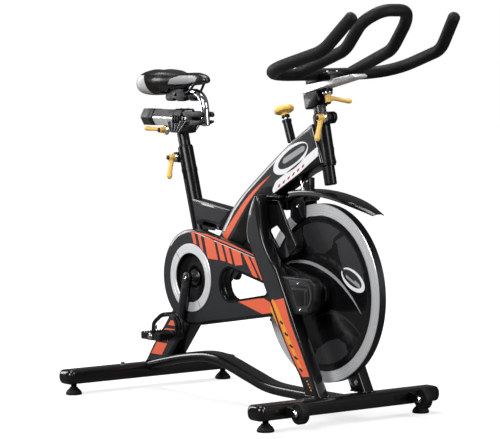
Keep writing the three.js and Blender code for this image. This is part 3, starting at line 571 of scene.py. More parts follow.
def block(name, low, high, material, ease=2.0):
    """A box with eased edges between two corners of the drawing, in millimetres."""
    bm = bmesh.new()
    bmesh.ops.create_cube(bm, size=1)
    size = (Vector(high) - Vector(low)) * MM
    middle = at(*((a + b) / 2 for a, b in zip(low, high)))
    for vertex in bm.verts:
        vertex.co = Vector((vertex.co.x * size.x, vertex.co.y * size.y, vertex.co.z * size.z)) + middle
    bmesh.ops.bevel(bm, geom=list(bm.edges), offset=min(ease * MM, min(size) * 0.45), segments=3, profile=0.5,
                    affect="EDGES")
    return object_of(name, bm, material, 45)


def join(name, pieces):
    """One object from several; each keeps its own material."""
    bm = bmesh.new()
    materials = []
    for piece in pieces:
        own = [m for m in piece.data.materials]
        for material in own:
            if material not in materials:
                materials.append(material)
        start = len(bm.faces)
        bm.from_mesh(piece.data)
        bm.faces.ensure_lookup_table()
        for face in bm.faces[start:]:
            face.material_index = materials.index(own[face.material_index])
        mesh = piece.data
        bpy.data.objects.remove(piece)
        bpy.data.meshes.remove(mesh)
    mesh = bpy.data.meshes.new(name)
    bm.to_mesh(mesh)
    bm.free()
    for material in materials:
        mesh.materials.append(material)
    made = bpy.data.objects.new(name, mesh)
    bpy.context.scene.collection.objects.link(made)
    return made


def belongs(piece, body, slot, *nodes):
    """Puts a piece on its body and, where it stands for CAD nodes, hides them; the slot is not used."""
    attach(piece, body)
    if nodes:
        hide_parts(*nodes)
    return piece


def painted(piece, *nodes):
    """A painted piece of the fixed frame."""
    return belongs(piece, "frame", "frame_paint", *nodes)


def guarded(piece, *nodes):
    """A piece of the belt guard, which is fixed to the frame."""
    return belongs(piece, "frame", "guard_plastic", *nodes)


def arc(centre_x, centre_z, radius, start, end, steps=24):
    """Points of the drawing along an arc, with angles in degrees from +x towards +z."""
    angles = [math.radians(start + (end - start) * i / steps) for i in range(steps + 1)]
    return [(centre_x + radius * math.cos(a), centre_z + radius * math.sin(a)) for a in angles]


def wheel_arc(radius, start, end, steps=24):
    """Points along an arc round the flywheel's axle."""
    return arc(WHEEL_X, WHEEL_Z, radius, start, end, steps)


def band(x1, z1, r1, x2, z2, r2, steps=40):
    """The outline of a band round two circles."""
    span = math.hypot(x2 - x1, z2 - z1)
    tilt = math.degrees(math.atan2(z2 - z1, x2 - x1))
    half = math.degrees(math.acos((r1 - r2) / span))
    first = arc(x1, z1, r1, tilt + half, tilt + 360 - half, steps)
    return first + arc(x2, z2, r2, tilt - half, tilt + half, steps // 2)


def bolt(name, head, outward, radius=5.0, height=4.0, material=None, socket=True):
    """A cap screw standing on a face: round head with a hexagonal socket, or a hexagon head."""
    material = material or STEEL
    r, h = radius, height
    if socket:
        profile = [(0, -1), (r, -1), (r, h - 0.8), (r - 0.8, h), (r * 0.55, h), (r * 0.5, h * 0.45),
                   (0, h * 0.45)]
        return turned(name, profile, head, outward, material, 24)
    profile = [(0, -1), (r * 1.25, -1), (r * 1.25, 0.8), (r, 0.8), (r, h - 0.7), (r * 0.85, h), (0, h)]
    sixth = math.pi / 6

    def hexagon(angle, at_radius):
        """Flats all round, except on the flange under the head."""
        return 1 if at_radius > r * 1.1 else math.cos(sixth) / math.cos(angle % (2 * sixth) - sixth)

    return turned(name, profile, head, outward, material, 36, 20, hexagon)


def drawn_in(points, wall):
    """A counter-clockwise outline moved inwards by a wall."""
    moved = []
    for i, corner in enumerate(points):
        before = Vector(corner) - Vector(points[i - 1])
        after = Vector(points[(i + 1) % len(points)]) - Vector(corner)
        a, b = Vector((-before.y, before.x)).normalized(), Vector((-after.y, after.x)).normalized()
        normal = (a + b).normalized()
        moved.append(Vector(corner) + normal * wall / max(0.5, normal.dot(a)))
    return moved


def clipped(points, cuts):
    """The part of a convex outline on the left of each (start, end) line."""
    points = [Vector(p) for p in points]
    for start, end in cuts:
        start, end = Vector(start), Vector(end)
        side = lambda p: (end.x - start.x) * (p.y - start.y) - (end.y - start.y) * (p.x - start.x)
        kept = []
        for a, b in zip(points, points[1:] + points[:1]):
            if side(a) >= 0:
                kept.append(a)
            if (side(a) >= 0) != (side(b) >= 0):
                kept.append(a + (b - a) * side(a) / (side(a) - side(b)))
        points = kept
    return points


def strip(points, width):
    """The outline of a line of even or tapering width along points."""
    points = [Vector(p) for p in points]
    widths = width if hasattr(width, "__len__") else [width] * len(points)
    left, right = [], []
    for i, p in enumerate(points):
        run = (points[min(i + 1, len(points) - 1)] - points[max(i - 1, 0)]).normalized()
        normal = Vector((-run.y, run.x)) * widths[i] / 2
        left.append(p + normal)
        right.append(p - normal)
    return right + left[::-1]


def on_right(name, outline, face, material, proud=0.4, holes=()):
    """Flat graphics on a face that looks to the rider's right, at y = face."""
    return plate(name, outline, face - proud, face + 0.4, material, holes=holes)


def ellipse(x, z, a, b, lean, steps=48):
    turn = math.radians(lean)
    points = []
    for i in range(steps):
        angle = 2 * math.pi * i / steps
        u, v = a * math.cos(angle), b * math.sin(angle)
        points.append((x + u * math.cos(turn) - v * math.sin(turn),
                       z + u * math.sin(turn) + v * math.cos(turn)))
    return points


def bead(name, centres, radius=2.2):
    """A weld bead: a rippled line of paint-covered weld along a joint."""
    line = smooth_line(centres, 6)
    scales = [0.85 + 0.15 * math.sin(i * 1.9) for i in range(len(line))]
    return sweep(name, line, circle(radius, 8), BLACK, scales=scales)


def mirrored(*names):
    """The same graphics again on the rider's left."""
    for name in names:
        piece = bpy.data.objects[name]
        mesh = piece.data.copy()
        for vertex in mesh.vertices:
            vertex.co.y = 2 * ORIGIN.y - vertex.co.y
        mesh.flip_normals()
        twin = bpy.data.objects.new(name + "_left", mesh)
        bpy.context.scene.collection.objects.link(twin)
        belongs(twin, "flywheel" if name.startswith("cover") else "frame", "frame_paint")


# ---------- base ----------
def stabilizer(name, x, half, cap_name):
    """A wide tube across the floor, with a domed plastic cap at each end behind a narrow seam."""
    section = rounded_rectangle(62, 42, 17.5, 7)
    rings = []
    for y, inset in ((-half, 1.2), (-half + 1.2, 0), (half - 1.2, 0), (half, 1.2)):
        rings.append([at(x + a * (1 - inset / 31), y, 53 + b * (1 - inset / 21)) for a, b in section])
    painted(loft(name + "_tube", rings, BLACK, smooth=40), name)
    for word, side in SIDES:
        rings = []
        for reach, inset in ((-1, 3), (0.5, 3), (0.6, 0.9), (1.2, 0.1), (6, 0), (10, 1.2), (13.5, 3.8),
                             (16, 7.5), (17.4, 12), (17.9, 17)):
            across, up = 62 - 2 * inset, 42 - 2 * inset
            ring = rounded_rectangle(across, up, min(17.5, up / 2 - 0.3), 7)
            rings.append([at(x + a, side * (half + reach), 53 + b) for a, b in ring])
        cap = loft(f"{cap_name}_{word}_shell", rings, GLOSS_PLASTIC, smooth=40)
        belongs(cap, "frame", "black_plastic", f"{cap_name}_{word}")


stabilizer("front_stabilizer", 460, 297, "front_cap")
stabilizer("rear_stabilizer", -452, 288, "rear_cap")

for word, side in SIDES:
    for end, x in (("front", 457), ("rear", -452)):
        pad = [(0, 0), (21.5, 0), (23.2, 1.2), (23.5, 3), (23.5, 6), (22.6, 7.2), (21.8, 9), (19, 13.5),
               (14.5, 17.5),
               (12.6, 19), (12.2, 21.5), (10.5, 22.2), (0, 22.2)]
        stud = [(0, 20), (8.6, 20)]
        for i in range(9):
            stud += [(8.9, 22.6 + i * 1.5), (8.1, 23.3 + i * 1.5)]
        stud += [(8.6, 37), (8.6, 51), (0, 51)]
        centre = at(x, side * 269.5, 0)
        piece = join(f"foot_{end}_{word}_pad", [
            turned("pad", pad, centre, UPRIGHT, RUBBER, 48),
            turned("stud", stud, centre, UPRIGHT, DARK_STEEL, 32, 50),
        ])
        belongs(piece, f"foot_{end}_{word}", "rubber", f"foot_{end}_{word}")
    # transport wheels: rubber tyre with a groove, grey hub and a bolt through the lugs
    tyre = [(5.3, -10.5), (9, -10.8), (11, -9), (21, -9), (22, -11), (26.2, -11), (28.2, -9.6), (29, -7),
            (29, -1.5), (27.8, -1),
            (27.8, 1), (29, 1.5), (29, 7), (28.2, 9.6), (26.2, 11), (22, 11), (21, 9), (11, 9), (9, 10.8),
            (5.3, 10.5), (5.3, -10.5)]
    wheel_at = at(532, side * 213, 52)
    belongs(turned(f"transport_wheel_{word}_tyre", tyre, wheel_at, ACROSS, RUBBER, 56, 28),
            f"transport_wheel_{word}", "rubber", f"transport_wheel_{word}")
    lug_line = fillet([(488, 40), (534, 42), (543, 52), (534, 62), (488, 68)], [0, 8, 9, 8, 0], 4)
    lugs = [plate("lug", lug_line, side * 213 + low, side * 213 + low + 4, BLACK, 0.8) for low in (-16, 12)]
    pin = turned("pin", [(0, -17), (4.9, -17), (4.9, 17), (0, 17)], wheel_at, ACROSS, STEEL, 24)
    heads = [bolt("head", wheel_at + ACROSS * s * 16 * MM, ACROSS * s, 7, 4.5, CHROME, False)
             for s in (-1, 1)]
    washers = [turned("washer", [(0, 0), (10, 0), (10, 1), (9, 1.6), (0, 1.6)],
                      wheel_at + ACROSS * s * 15.9 * MM, ACROSS * s, CHROME, 32)
               for s in (-1, 1)]
    painted(join(f"wheel_bracket_{word}", [*lugs, pin, *heads, *washers]))


BEAM_LINE = [(-419, 70), (-385, 79), (-283, 101), (-190, 116), (-127, 119), (-60, 111), (51, 83), (142, 62),
             (254, 57), (427, 57)]
painted(sweep("base_beam_tube", smooth_line([at(x, 0, z) for x, z in BEAM_LINE], 6),
              rounded_rectangle(59.6, 29, 13, 6),
              BLACK, up=UPRIGHT, smooth=40), "base_beam")
for x, z, lean in ((-421, 69, 1), (429, 57, -1)):
    ring = [at(x + lean * 1.5, 30 * math.cos(a), z + 15 * math.sin(a))
            for a in (math.radians(d) for d in range(0, 361, 12))]
    painted(bead(f"base_weld_{'rear' if lean > 0 else 'front'}", ring, 2.6))

# two bolt heads on top of the rear stabilizer
for y in (-97, 97):
    painted(bolt(f"rear_bolt_{'right' if y < 0 else 'left'}", at(-452, y, 74), UPRIGHT, 6, 7, STEEL, False))

# ---------- frame ----------
STRUT = [(-437, 78), (-330, 78), (-310, 104), (-112, 330), (-137, 351), (-178, 372), (-215, 336), (-398, 130)]
strut_line = fillet(STRUT, [2, 2, 14, 4, 10, 14, 14, 30], 4)
painted(plate("rear_strut_body", strut_line, -28, 28, BLACK, 6), "rear_strut")
painted(on_right("strut_panel", fillet(drawn_in(STRUT, 12), [4, 4, 10, 4, 8, 12, 12, 24], 4), BEAM_FACE,
                 GRAPHITE, 0.3))
strut_marks = [
    [(-403, 106), (-350, 106), (-322, 142), (-374, 142)],
    [(-368, 150), (-314, 150), (-283, 187), (-328, 187), (-346, 176)],
    [(-318, 197), (-275, 197), (-262, 212), (-303, 212)],
]
painted(join("strut_graphics", [on_right("mark", m, BEAM_FACE - PRINT, ORANGE) for m in strut_marks]))

BEAM = [(-116, 320), (-80, 336), (22, 420), (67, 482), (84, 541), (140, 590), (183, 596), (305, 659),
        (396, 694),
        (352, 800), (262, 748), (168, 686), (52, 603), (-5, 553), (-62, 478), (-152, 385), (-137, 351)]
beam_line = fillet(BEAM, [6, 12, 40, 40, 40, 30, 30, 40, 4, 4, 60, 60, 40, 40, 60, 20, 6], 5)
painted(plate("main_beam_body", beam_line, -28, 28, BLACK, 6), "main_beam")
PANEL = [(-60, 424), (-8, 470), (40, 530), (88, 586), (140, 618), (200, 628), (300, 684), (372, 716),
         (340, 778), (262, 734),
         (168, 673), (62, 597), (5, 545), (-52, 470), (-90, 428)]
painted(on_right("beam_panel", fillet(PANEL, [4, 20, 30, 30, 20, 12, 30, 6, 6, 40, 40, 30, 30, 30, 4], 4),
                 BEAM_FACE, GRAPHITE, 0.3))
# painted highlight: a silver strip just inside the beam's top edge, where the rounded edge catches the light
edge = [(-140, 395), (-62, 485), (-4, 558), (52, 608), (168, 691), (262, 753), (345, 801)]
beam_highlight_line = [(x + 4.5, z - 6.5) for x, z in edge]
painted(on_right("beam_painted_highlight", strip(smooth_line(beam_highlight_line, 5), 2.2), BEAM_FACE, SILVER, 0.35))
stripe_line = smooth_line(((-40, 468), (8, 519), (60, 572), (112, 614), (174, 655)), 8)
stripe_widths = [22 - 21.4 * (i / (len(stripe_line) - 1)) ** 1.5 for i in range(len(stripe_line))]
painted(on_right("beam_stripe", strip(stripe_line, stripe_widths), BEAM_FACE - PRINT, ORANGE, 0.4))
band_line = fillet([(381, 714), (381, 740), (300, 694), (196, 637), (180, 612), (186, 604), (300, 664)],
                   [3, 6, 60, 18, 14, 10, 60], 5)
painted(on_right("beam_band", band_line, BEAM_FACE - PRINT, WHITE))
marks = []
for i in range(6):
    x, z = 205 + i * 21, 625 + i * 11.6
    marks.append(on_right("tick", [(x, z - 5), (x + 9, z - 1.5), (x + 13, z + 7), (x + 4, z + 3.5)],
                          BEAM_FACE - 0.7, RED, 0.25))
painted(join("beam_ticks", marks))
outer = ellipse(262, 703, 84, 31, 27)
inner = ellipse(271, 709, 71, 21, 27)
painted(on_right("beam_emblem", outer, BEAM_FACE - PRINT, WHITE, holes=[inner]))
painted(on_right("beam_emblem_bar", fillet([(225, 688), (238, 688), (322, 726), (326, 738), (312, 738),
                                            (232, 702)], 5, 3), BEAM_FACE - PRINT, SILVER))

LINK = [(-215, 500), (-62, 484), (-15, 549), (-232, 574)]
slot_line = fillet([(-158, 490), (-100, 488), (-94, 500), (-154, 507)], 6, 4)
painted(plate("link_plate_body", fillet(LINK, [4, 4, 4, 4], 3), -18, 18, BLACK, 4, holes=[slot_line]),
        "link_plate")
painted(on_right("link_panel", fillet([(-206, 521), (-78, 508), (-36, 541), (-212, 561)], 5, 3), LINK_FACE,
                 GRAPHITE, 0.3))
# painted highlight: a silver strip along the link plate's top edge
painted(on_right("link_painted_highlight", strip([(-222, 568), (-150, 560), (-30, 546)], [2, 3.5, 2]), LINK_FACE,
                 SILVER, 0.35))


def tube_profile(radius, bore, length, collars=()):
    profile = [(bore, 0), (radius - 1, 0), (radius, 1)]
    for start, end, extra in collars:
        profile += [(radius, start), (radius + extra, start + extra), (radius + extra, end - extra),
                    (radius, end)]
    return profile + [(radius, length - 1.5), (radius - 1.5, length), (bore, length), (bore, 0)]


def hollow_tube(name, low, high, radius, bore, material, collars=()):
    axis = (high - low).normalized()
    return turned(name, tube_profile(radius, bore, (high - low).length / MM, collars), low, axis, material,
                  56, 25)


head_ears = fillet([(362, 797), (404, 801), (414, 812), (412, 828), (400, 833), (354, 828)],
                   [0, 6, 9, 9, 6, 0], 3)
head = [hollow_tube("tube", head_point(686), head_point(822), 22, 17.45, SATIN, ((4, 14, 1.2),))]
head += [plate("ear", head_ears, low, high, SATIN, 1.5) for low, high in ((-14, -1.6), (1.6, 14))]
painted(join("head_tube_body", head), "head_tube")
belongs(hollow_tube("head_bush", head_point(821), head_point(825.5), 20.5, 17.45, PLASTIC), "frame",
        "black_plastic")
seat_ears = fillet([(-268, 671), (-292, 671), (-301, 680), (-301, 692), (-292, 701), (-268, 701)],
                   [0, 6, 6, 6, 6, 0], 3)
seat = [hollow_tube("tube", seat_point(372), seat_point(716), 22, 17.45, SATIN, ((285, 297, 1.0),))]
seat += [plate("ear", seat_ears, low, high, SATIN, 1.5) for low, high in ((-14, -1.6), (1.6, 14))]
painted(join("seat_tube_body", seat), "seat_tube")
belongs(hollow_tube("seat_bush", seat_point(715.5), seat_point(720), 20.5, 17.45, PLASTIC), "frame",
        "black_plastic")

# fork legs: box-section legs with a graphite face, a painted highlight along the edge at the horn, welded
# foot and a bolt
def curve_points(start, control, end, steps=10):
    s, c, e = Vector(start), Vector(control), Vector(end)
    return [s * (1 - t) ** 2 + c * 2 * t * (1 - t) + e * t * t for t in (i / steps for i in range(steps + 1))]


LEG = [Vector((409, 74.4)), Vector((466, 74.4)), *curve_points((284, 408), (204, 470), (205, 585)),
       Vector((199, 602)),
       Vector((190, 603)), *curve_points((176, 585), (133, 506), (165, 465)),
       *curve_points((268, 290), (322, 196), (382, 125))]
for word, side in SIDES:
    low, high = sorted((side * 60, side * 98))
    painted(plate(f"fork_leg_{word}_body", LEG, low, high, BLACK, 5), f"fork_leg_{word}")
    foot_line = [at(x, side * y, 75.6) for x, y in ((408, 60), (437, 58.5), (466, 60), (467, 79), (466, 98),
                                                    (437, 99.5), (408, 98), (407, 79), (408, 60))]
    painted(bead(f"fork_weld_{word}", foot_line, 2.4))
leg_face = [
    Vector((424, 96)), Vector((448, 96)),
    *curve_points((278, 400), (205, 468), (192, 566)),
    *curve_points((192, 566), (140, 506), (172, 468)),
    *curve_points((277, 294), (330, 202), (392, 131)),
]
painted(on_right("leg_panel", leg_face, LEG_FACE, GRAPHITE, 0.3))
leg_orange = [(263, 318), (318, 330), (345, 268), (392, 190), (428, 128), (398, 124), (372, 152), (330, 206),
              (285, 282)]
painted(on_right("leg_orange", fillet(leg_orange, [0, 0, 40, 60, 0, 8, 10, 30, 20], 4), LEG_FACE - PRINT,
                 ORANGE))
leg_yellow = strip(smooth_line(((268, 322), (290, 292), (322, 242), (352, 200), (400, 138)), 5),
                   [3 + 12 * math.sin(math.pi * min(1, (i + 2) / 23)) for i in range(21)])
painted(on_right("leg_yellow", leg_yellow, LEG_FACE - 0.7, YELLOW, 0.25))
dashes = []
for i in range(5):
    x, z = 300 + i * 21, 264 - i * 30
    dashes.append(on_right("dash", [(x, z), (x + 13, z - 7), (x + 17, z - 2), (x + 4, z + 5)], LEG_FACE - 1,
                           DARK_GREY, 0.2))
for i in range(4):
    x, z = 415 + i * 5.5, 114 - i * 7.5
    dashes.append(on_right("dash", [(x, z), (x + 5, z - 1.5), (x + 6.5, z + 1.5), (x + 1.5, z + 3)],
                           LEG_FACE - PRINT, YELLOW, 0.2))
painted(join("leg_dashes", dashes))
painted(bolt("leg_bolt_left", at(436, 57.5, 100), -ACROSS, 6, 4, CHROME, False))
# painted highlight: a thin silver strip along the leg's edge at the horn
painted(on_right("leg_painted_highlight", strip(curve_points((190, 590), (139, 508), (166, 470)), 1.6),
                 LEG_FACE - 0.2, SILVER, 0.3))

# crown, and the ring-shaped bracket between the right leg and the beam
crown = [
    turned("cross_tube", [(0, -61), (11, -61), (11, 61), (0, 61)], at(190, 0, 583), ACROSS, BLACK, 40),
    block("tread", (186, -58, 592.4), (244, 58, 600), BLACK, 2.5),
    block("middle", (176, -30, 560), (246, 30, 600), BLACK, 4),
    block("arm", (200, -59, 575), (244, -26, 589), BLACK, 2),
    plate("ring", fillet([(188, 506), (229, 424), (284, 434), (327, 466), (284, 526), (246, 589), (200, 589)],
                         9, 4), -59, -52, BLACK, 1.5,
          holes=[fillet([(203, 506), (246, 456), (276, 492), (237, 521)], 7, 4)]),
]
painted(join("fork_crown_body", crown), "fork_crown")
crown_bolts = [bolt("screw", at(216, y, 600), UPRIGHT, 5, 3.5, DARK_STEEL) for y in (-45, 45)]
painted(join("crown_screws", crown_bolts))

# ---------- belt guard ----------
REAR_RADIUS, FRONT_RADIUS = 137, 47
SIDE_CUTS = [((285, 100), (285, 257)), ((285, 257), (266, 289)), ((266, 289), (161, 468))]


def guard_band(inset, steps=60):
    return band(CRANK_X, CRANK_Z, REAR_RADIUS - inset, WHEEL_X, WHEEL_Z, FRONT_RADIUS - inset, steps)


def window_band(grow):
    return band(44.5, 345, 44.5 + grow, 199, 343.5, 16 + grow, 30)


def disc(x, z, radius, steps=64):
    return arc(x, z, radius, 0, 360 * (steps - 1) / steps, steps - 1)


guard_holes = [window_band(0), disc(CRANK_X, CRANK_Z, 70)]
guard_parts = [
    plate("rear", clipped(guard_band(0), SIDE_CUTS), -75, -59, BLACK, 5, guard_holes),
    plate("front", guard_band(0), -59.4, -38.4, BLACK, 3, [*guard_holes, disc(WHEEL_X, WHEEL_Z, 14)]),
]
guarded(join("guard_body", guard_parts), "chain_guard")
FACE_CUTS = [((277, 100), (277, 255)), ((277, 255), (259, 286)), ((259, 286), (153, 466))]
face = clipped(guard_band(9), FACE_CUTS)
guarded(on_right("guard_face", face, GUARD_FACE, GUARD, 0.5, [window_band(7), disc(CRANK_X, CRANK_Z, 96.5)]))
# the guard's straight edges run tilt degrees from level, and meet its round ends half degrees to each side
apart = math.hypot(WHEEL_X - CRANK_X, WHEEL_Z - CRANK_Z)
half = math.degrees(math.acos((REAR_RADIUS - FRONT_RADIUS) / apart))
tilt = math.degrees(math.atan2(WHEEL_Z - CRANK_Z, WHEEL_X - CRANK_X))
# painted highlight: a white strip along the guard's upper edge, tapering at both ends
upper = arc(CRANK_X, CRANK_Z, REAR_RADIUS - 6, tilt + half + 50, tilt + half, 14)
front_end = wheel_arc(FRONT_RADIUS - 5, tilt + half, tilt + half, 1)[0]
upper_end = Vector(upper[-1]).lerp(Vector(front_end), 0.585)
guarded(on_right("guard_painted_highlight", strip([*upper, tuple(upper_end)], [0.6] + [2.6] * 13 + [2.6, 1.2]),
                 GUARD_FACE, WHITE, 0.35))
guarded(on_right("guard_window_lip", window_band(6.5), GUARD_FACE - 0.1, GLOSS_PLASTIC, 0.9,
                 [window_band(0.2)]))
# slanted colour blocks along the guard, a wedge under its window, and thin tails
blocks = [
    [(-134, 478), (-120, 482), (-108, 447), (-122, 449.5)],
    [(-104, 478), (-90, 475), (-76, 428), (-92, 440)],
    [(-74, 472), (-26, 464), (-8, 410), (-56, 411)],
    [(-14, 461), (8, 456), (28, 408), (4, 410)],
    [(20, 453), (42, 449), (60, 402), (39, 406)],
    [(52, 447), (96, 438), (106, 404), (72, 400)],
    [(106, 436), (132, 430), (176, 372), (152, 377)],
    [(140, 430), (176, 421), (222, 366), (190, 368)],
]
guarded(join("guard_blocks", [on_right("block", fillet(b, 2, 2), GUARD_FACE - 0.5, ORANGE) for b in blocks]))
guarded(on_right("guard_blocks_edge", strip([(-150, 484), (-60, 477), (60, 455), (176, 430)], [1, 5, 5, 1]),
                 GUARD_FACE - 0.5, ORANGE))
tails = [strip([(176, 428), (232, 410)], [4, 1]), strip([(192, 416), (236, 400)], [4, 1]),
         strip([(206, 402), (242, 389)], [4, 1.2]),
         strip([(222, 386), (250, 377)], [4, 1.2])]
guarded(join("guard_tails", [on_right("tail", t, GUARD_FACE - 0.5, ORANGE) for t in tails]))
wedge = [(82, 301), (277, 256), (258, 284), (246, 305), (200, 319), (150, 313)]
low_edge = [arc(x, z, radius - 9, tilt - half, tilt - half, 1)[0]
            for x, z, radius in ((CRANK_X, CRANK_Z, REAR_RADIUS), (WHEEL_X, WHEEL_Z, FRONT_RADIUS))]
guarded(on_right("guard_wedge", clipped(wedge, [low_edge]), GUARD_FACE - 0.5, ORANGE))
guarded(on_right("guard_streak", strip([(238, 346), (250, 320)], [9, 2]), GUARD_FACE - 0.5, ORANGE))
guarded(on_right("guard_wedge_streak", fillet([(236, 300), (254, 276), (268, 252), (262, 250), (246, 270),
                                               (228, 296)], 4, 3), GUARD_FACE - 0.9, YELLOW, 0.2))
screws_at = [(-262, 351), (-196, 462), (-196, 240), (120, 276), (230, 262)]
guard_screws = [bolt("screw", at(x, -74.6, z), -ACROSS, 3.6, 1.8, DARK_STEEL) for x, z in screws_at]
guarded(join("guard_screws", guard_screws))

ring = [(70.2, -75.4), (97, -75.4), (97, -77), (96, -78), (84.4, -78), (84, -77.6), (83.6, -78), (71.2, -78),
        (70.2, -77.2), (70.2, -75.4)]
seams = []
for angle in (134.6, 299.9):
    seam = [arc(CRANK_X, CRANK_Z, radius, angle, angle, 1)[0] for radius in (70.6, 96.4)]
    seams.append(on_right("seam", strip(seam, 1.1), -77.9, DARK_STEEL, 0.3))
belongs(join("crank_ring_plate", [turned("ring", ring, CRANK, ACROSS, RING, 96, 25), *seams]),
        "frame", "silver_metal", "crank_ring")
dish = [(30, -56), (34, -60), (66, -60), (69.8, -64), (69.8, -74.6), (68.4, -74.6), (68.4, -65), (65, -61.6),
        (34.6, -61.6), (30, -58), (30, -56)]
guarded(turned("crank_recess", dish, CRANK, ACROSS, LINING, 64, 30))

# ---------- cranks and pedals ----------
spindle = [(0, -96), (6, -96), (7, -95), (9, -95), (9, -73), (12, -66), (12, 66), (9, 73), (9, 95), (7, 95),
           (6, 96), (0, 96)]
belongs(turned("crank_spindle_bar", spindle, CRANK, ACROSS, STEEL, 40, 30), "crankset", "dark_steel",
        "crank_spindle")
hub = [(12.3, -64), (22, -64), (24, -62), (24, -55), (12.3, -55), (12.3, -64)]
pulley = [turned("hub", hub, CRANK, ACROSS, DARK_STEEL, 48),
          plate("web", disc(CRANK_X, CRANK_Z, 94), -52.4, -48.6, LINING, 0.6,
                [disc(CRANK_X + 58 * math.cos(a), CRANK_Z + 58 * math.sin(a), 20, 32)
                 for a in (math.radians(d) for d in range(0, 360, 60))]),
          turned("rim", [(93.5, -56), (105, -56), (105, -45), (93.5, -45), (93.5, -56)], CRANK, ACROSS,
                 ALUMINIUM, 96)]
belongs(join("drive_pulley_wheel", pulley), "crankset", "silver_metal", "drive_pulley")
lean = math.radians(-164.3)
for word, side in SIDES:
    reach = -side * 170
    ex, ez = CRANK_X + reach * math.sin(lean), CRANK_Z + reach * math.cos(lean)
    tip = at(ex, 0, ez)
    y = side * 88
    outline = band(CRANK_X, CRANK_Z, 17, ex, ez, 13, 28)
    direction = (Vector((ex, ez)) - Vector((CRANK_X, CRANK_Z))).normalized()
    normal = Vector((-direction.y, direction.x))
    start, end = Vector((CRANK_X, CRANK_Z)) + direction * 30, Vector((ex, ez)) - direction * 26
    groove = fillet([start + normal * 5.5, start - normal * 5.5, end - normal * 4, end + normal * 4], 4, 4)
    arm = [plate("arm", outline, y - 6.5, y + 6.5, DARK_STEEL, 3)]
    face_at = y + side * 6.5
    arm.append(plate("groove", groove, min(face_at, face_at + side * 0.3), max(face_at, face_at + side * 0.3),
                     LINING))
    arm.append(turned("cap", [(0, -1), (11.5, -1), (11.5, 0.8), (9.6, 1.8), (8.5, 1.8), (7.8, 0.9), (0, 0.9)],
                      at(CRANK_X, face_at, CRANK_Z), ACROSS * side, DARK_STEEL, 40))
    arm.append(bolt("bolt", at(CRANK_X, face_at, CRANK_Z) + ACROSS * side * 0.5 * MM, ACROSS * side, 6.5, 3.6,
                    CHROME))
    pin = [(0, 0), (9.5, 0), (9.5, 4.2), (7.2, 4.8), (6.8, 6), (6.8, 97), (5.6, 98.5), (0, 98.5)]
    arm.append(turned("pin", pin, at(ex, y + side * 5, ez), ACROSS * side, CHROME, 32))
    belongs(join(f"crank_arm_{word}_body", arm), "crankset", "dark_steel", f"crank_arm_{word}")

    # pedal: a cage of two toothed plates on a barrel, joined by end rails
    low, high = sorted((side * 100, side * 186))
    middle = (low + high) / 2
    step = (high - low - 10) / 9
    cage = []
    for s in (-1, 1):
        teeth = []
        for i in range(9):
            y0 = low + 5 + i * step
            teeth += [(y0, 11.5), (y0 + step * 0.45, 11.5), (y0 + step * 0.55, 8.6), (y0 + step * 0.95, 8.6)]
        wall = [(low, 6), (low, 8), *teeth, (high, 8), (high, -8)]
        wall += [(b, -z) for b, z in teeth[::-1]] + [(low, -8)]
        bm = bmesh.new()
        for x in (ex + s * 43.2, ex + s * 45.4):
            bm.faces.new([bm.verts.new(at(x, b, ez + z)) for b, z in wall])
        bm.verts.ensure_lookup_table()
        count = len(wall)
        for i in range(count):
            j = (i + 1) % count
            bm.faces.new((bm.verts[i], bm.verts[j], bm.verts[count + j], bm.verts[count + i]))
        cage.append(object_of("wall", bm, PLASTIC, 30))
    for yy in (low + 1.2, high - 1.2):
        ends = fillet([(ex - 44, ez - 9.5), (ex - 14, ez - 10.5), (ex, ez - 11), (ex + 14, ez - 10.5),
                       (ex + 44, ez - 9.5),
                       (ex + 44, ez + 9.5), (ex + 14, ez + 10.5), (ex - 14, ez + 10.5), (ex - 44, ez + 9.5)],
                      3, 3)
        cage.append(plate("end", ends, yy - 1.2, yy + 1.2, PLASTIC, 0.6, [disc(ex, ez, 7.6, 32)]))
    barrel = [(7.5, 0), (11, 0), (12, 1), (12, 14), (10.3, 16), (10.3, 62), (12, 64), (12, 78), (11, 79.5),
              (7.5, 79.5), (7.5, 0)]
    cage.append(turned("barrel", barrel, at(ex, side * 103, ez), ACROSS * side, PLASTIC, 40))
    for s in (-1, 1):
        for yy in (side * 118, side * 166):
            cage.append(block("rib", (ex + min(s * 11, s * 44), yy - 3, ez - 5),
                              (ex + max(s * 11, s * 44), yy + 3, ez + 5), PLASTIC, 1.5))
    dust = [(7.3, 0), (9, 0), (9.4, 1), (9, 3.8), (7.3, 4.2), (7.3, 0)]
    cage.append(turned("dust", dust, at(ex, side * 183, ez), ACROSS * side, CHROME, 32))
    cage.append(block("reflector", (ex - 46.2, middle - 14, ez - 5), (ex - 44.2, middle + 14, ez + 5), AMBER,
                      0.9))
    belongs(join(f"pedal_{word}_cage", cage), f"pedal_{word}", "dark_steel", f"pedal_{word}")

